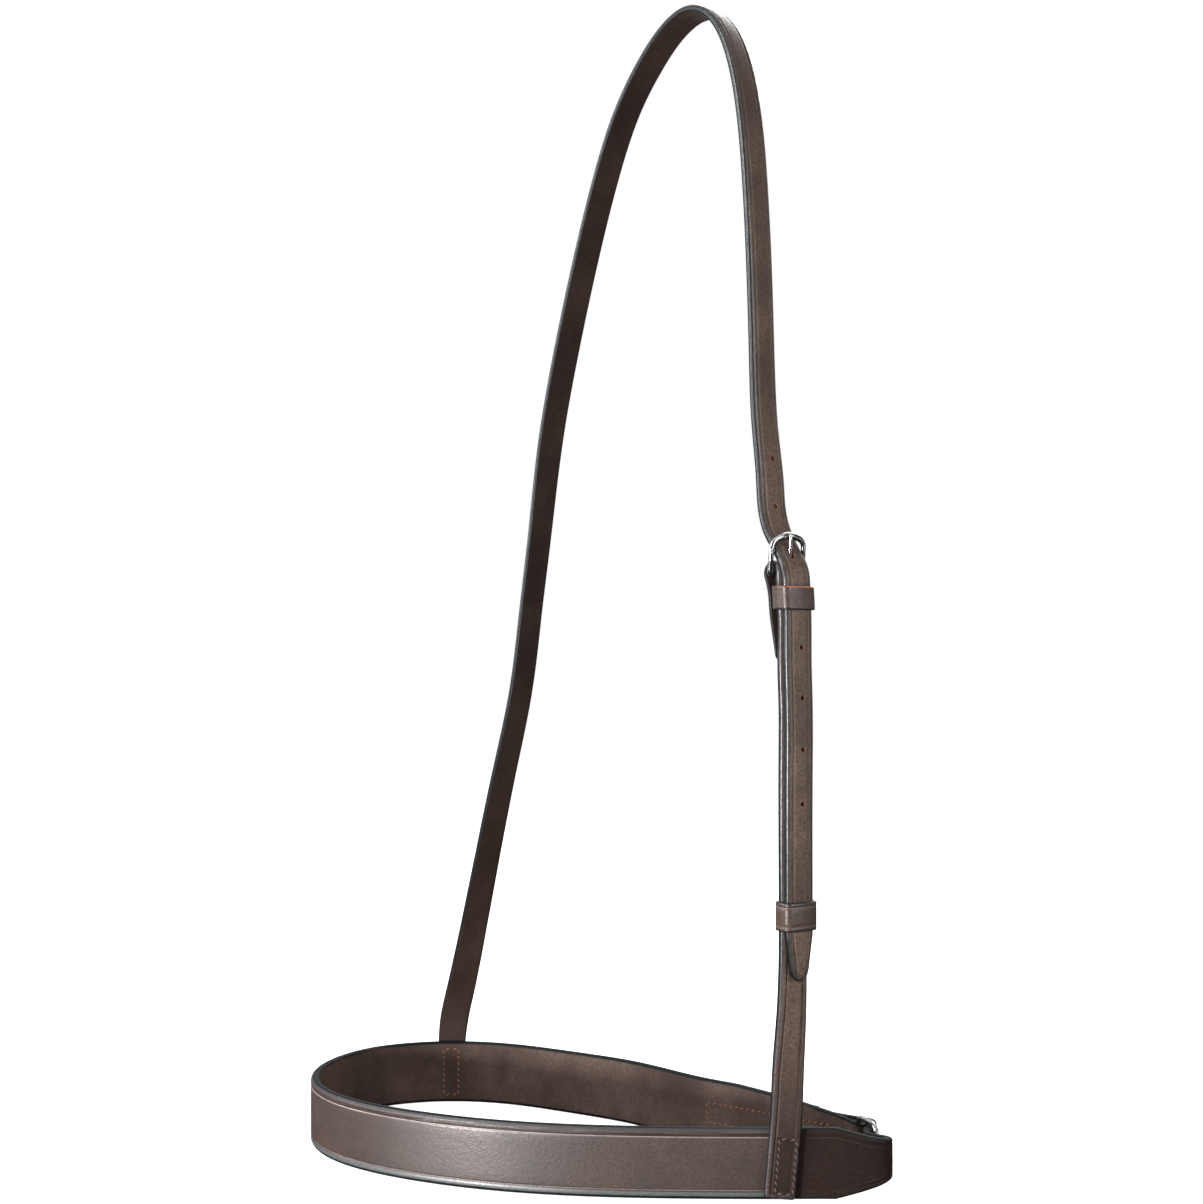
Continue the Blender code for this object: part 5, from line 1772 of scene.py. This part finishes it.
@dataclass
class Studio:
    """Pale floor, soft lamps and the camera of the photograph's view."""

    camera_place: Place = (0.0066, -0.93223, 0.268)
    focal_share: float = 1900.0 / 1204.0
    sensor: float = 36.0
    floor_colour: Colour = (0.80, 0.80, 0.80)
    floor_glow: float = 0.90
    sky: float = 0.15

    def build(self) -> None:
        """Set up everything that isn't the noseband."""
        self.add_camera()
        self.add_floor()
        self.add_world()
        for name, place, turns, size in (
                ("back_flag", (0.0, -1.7, 0.9), (90.0, 0.0), (3.2, 1.8)),
                ("left_flag", (-1.9, -0.2, 0.9), (90.0, 90.0), (3.0, 1.8)),
                ("right_flag", (1.9, -0.6, 0.9), (90.0, 90.0), (2.2, 1.8)),
                ("low_flag", (-0.1, -0.5, -0.2 * MM), (0.0, 0.0), (3.2, 2.4))):
            self.add_flag(name, place, turns, size)
        for name, place, target, size, power in (
                ("key_softbox", (-0.87, -1.03, 0.09), (0.0, -0.03, 0.03), (0.30, 0.13), 30.0),
                ("high_softbox", (-0.75, -0.65, 0.85), (0.0, 0.0, 0.1), (0.5, 0.5), 11.0),
                ("fill_softbox", (1.0, -0.85, 0.45), (0.06, -0.05, 0.3), (0.4, 0.8), 9.0),
                ("rim_softbox", (-1.15, 0.0, 0.55), (0.06, -0.05, 0.3), (0.35, 0.7), 10.0),
                ("back_softbox", (0.45, 0.95, 1.15), (0.0, 0.0, 0.15), (0.7, 0.7), 14.0)):
            self.add_lamp(name, place, target, size, power)
        bpy.context.scene.view_settings.view_transform = "Standard"

    def add_camera(self) -> None:
        """Level camera, as far off as the photograph's view."""
        data = bpy.data.cameras.new("view")
        data.sensor_width = self.sensor
        data.lens = self.focal_share * self.sensor
        data.clip_start = 0.01
        camera = bpy.data.objects.new("view", data)
        camera.location = self.camera_place
        camera.rotation_euler = (math.pi / 2, 0.0, 0.0)
        bpy.context.scene.collection.objects.link(camera)
        bpy.context.scene.camera = camera

    def add_floor(self) -> None:
        """Wide pale floor that keeps the shadow and fades into the white backdrop."""
        deselect()
        bpy.ops.mesh.primitive_plane_add(size=60.0, location=(0, 0, -0.4 * MM))
        floor = bpy.context.object
        floor.name = "studio_floor"
        made, sketch = new_material("studio_floor")
        matt = sketch.add("BsdfDiffuse", ("Color", self.floor_colour))
        strength = sketch.times(self.seen_rays(sketch), self.floor_glow)
        glow = sketch.add("Emission", ("Color", WHITE), ("Strength", strength))
        both = sketch.add("AddShader", (0, matt.outputs[0]), (1, glow.outputs[0]))
        sketch.add("OutputMaterial", ("Surface", both.outputs[0]))
        dress(floor, made)

    @staticmethod
    def seen_rays(sketch: Sketch) -> Socket:
        """Share of the rays that show the backdrop: those of the camera, glass and reflections."""
        path = sketch.add("LightPath").outputs
        seen = sketch.maths("MAXIMUM", path["Is Camera Ray"], path["Is Transmission Ray"])
        return sketch.maths("MAXIMUM", seen, path["Is Glossy Ray"])

    @staticmethod
    def add_flag(name: str, place: Place, turns: tuple[float, float], size: tuple[float, float]) -> None:
        """Black flag out of sight, so that the leather and the steel have something dark to reflect.

        Args:
            name: name of the flag.
            place: its middle.
            turns: its turns about X and Z in degrees.
            size: its width and height.
        """
        deselect()
        bpy.ops.mesh.primitive_plane_add(size=1.0, location=place,
                                         rotation=(math.radians(turns[0]), 0, math.radians(turns[1])))
        flag = bpy.context.object
        flag.name = name
        flag.data.transform(Matrix.Diagonal((*size, 1.0, 1.0)))
        flag.visible_camera = flag.visible_shadow = flag.visible_diffuse = flag.visible_transmission = False
        made, sketch = new_material(name)
        cloth = sketch.add("BsdfDiffuse", ("Color", BLACK_CLOTH))
        sketch.add("OutputMaterial", ("Surface", cloth.outputs[0]))
        dress(flag, made)

    def add_world(self) -> None:
        """White backdrop for the camera and for reflections, and a dimmer sky for the light."""
        world = bpy.data.worlds.new("studio")
        bpy.context.scene.world = world
        world.use_nodes = True
        sketch = Sketch(world.node_tree)
        sky, white = (sketch.add("Background", ("Color", WHITE), ("Strength", strength)).outputs[0]
                      for strength in (self.sky, 1.0))
        mixed = sketch.add("MixShader", (0, self.seen_rays(sketch)), (1, sky), (2, white))
        sketch.add("OutputWorld", ("Surface", mixed.outputs[0]))

    @staticmethod
    def add_lamp(name: str, place: Place, target: Place, size: tuple[float, float], power: float) -> None:
        """Rectangular softbox.

        Args:
            name: name of the lamp.
            place: where it stands.
            target: what it points at.
            size: its width and height.
            power: its power in watts.
        """
        data = bpy.data.lights.new(name, "AREA")
        data.shape = "RECTANGLE"
        data.size, data.size_y = size
        data.energy = power
        lamp = bpy.data.objects.new(name, data)
        lamp.location = place
        lamp.rotation_euler = (Vector(target) - Vector(place)).to_track_quat("-Z", "Y").to_euler()
        bpy.context.scene.collection.objects.link(lamp)


def main() -> None:
    """Build the noseband, sub-assembly by sub-assembly, and the studio round it."""
    logging.basicConfig(level=logging.INFO, format="%(name)s: %(message)s")
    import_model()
    deselect()
    wardrobe = Wardrobe()
    Studio().build()
    NoseBand().build(wardrobe)
    Sliphead().build(wardrobe)
    CheekStrap().build(wardrobe)
    for keeper in keepers():
        keeper.build(wardrobe)
    Buckle("cheek", CHEEK, 15.3 * MM, ("cheek_buckle", "cheek_tongue")).build(wardrobe)
    Buckle("rear", REAR, 16.7 * MM, ("rear_buckle", "rear_tongue")).build(wardrobe)
    deselect()


if __name__ == "__main__":
    main()
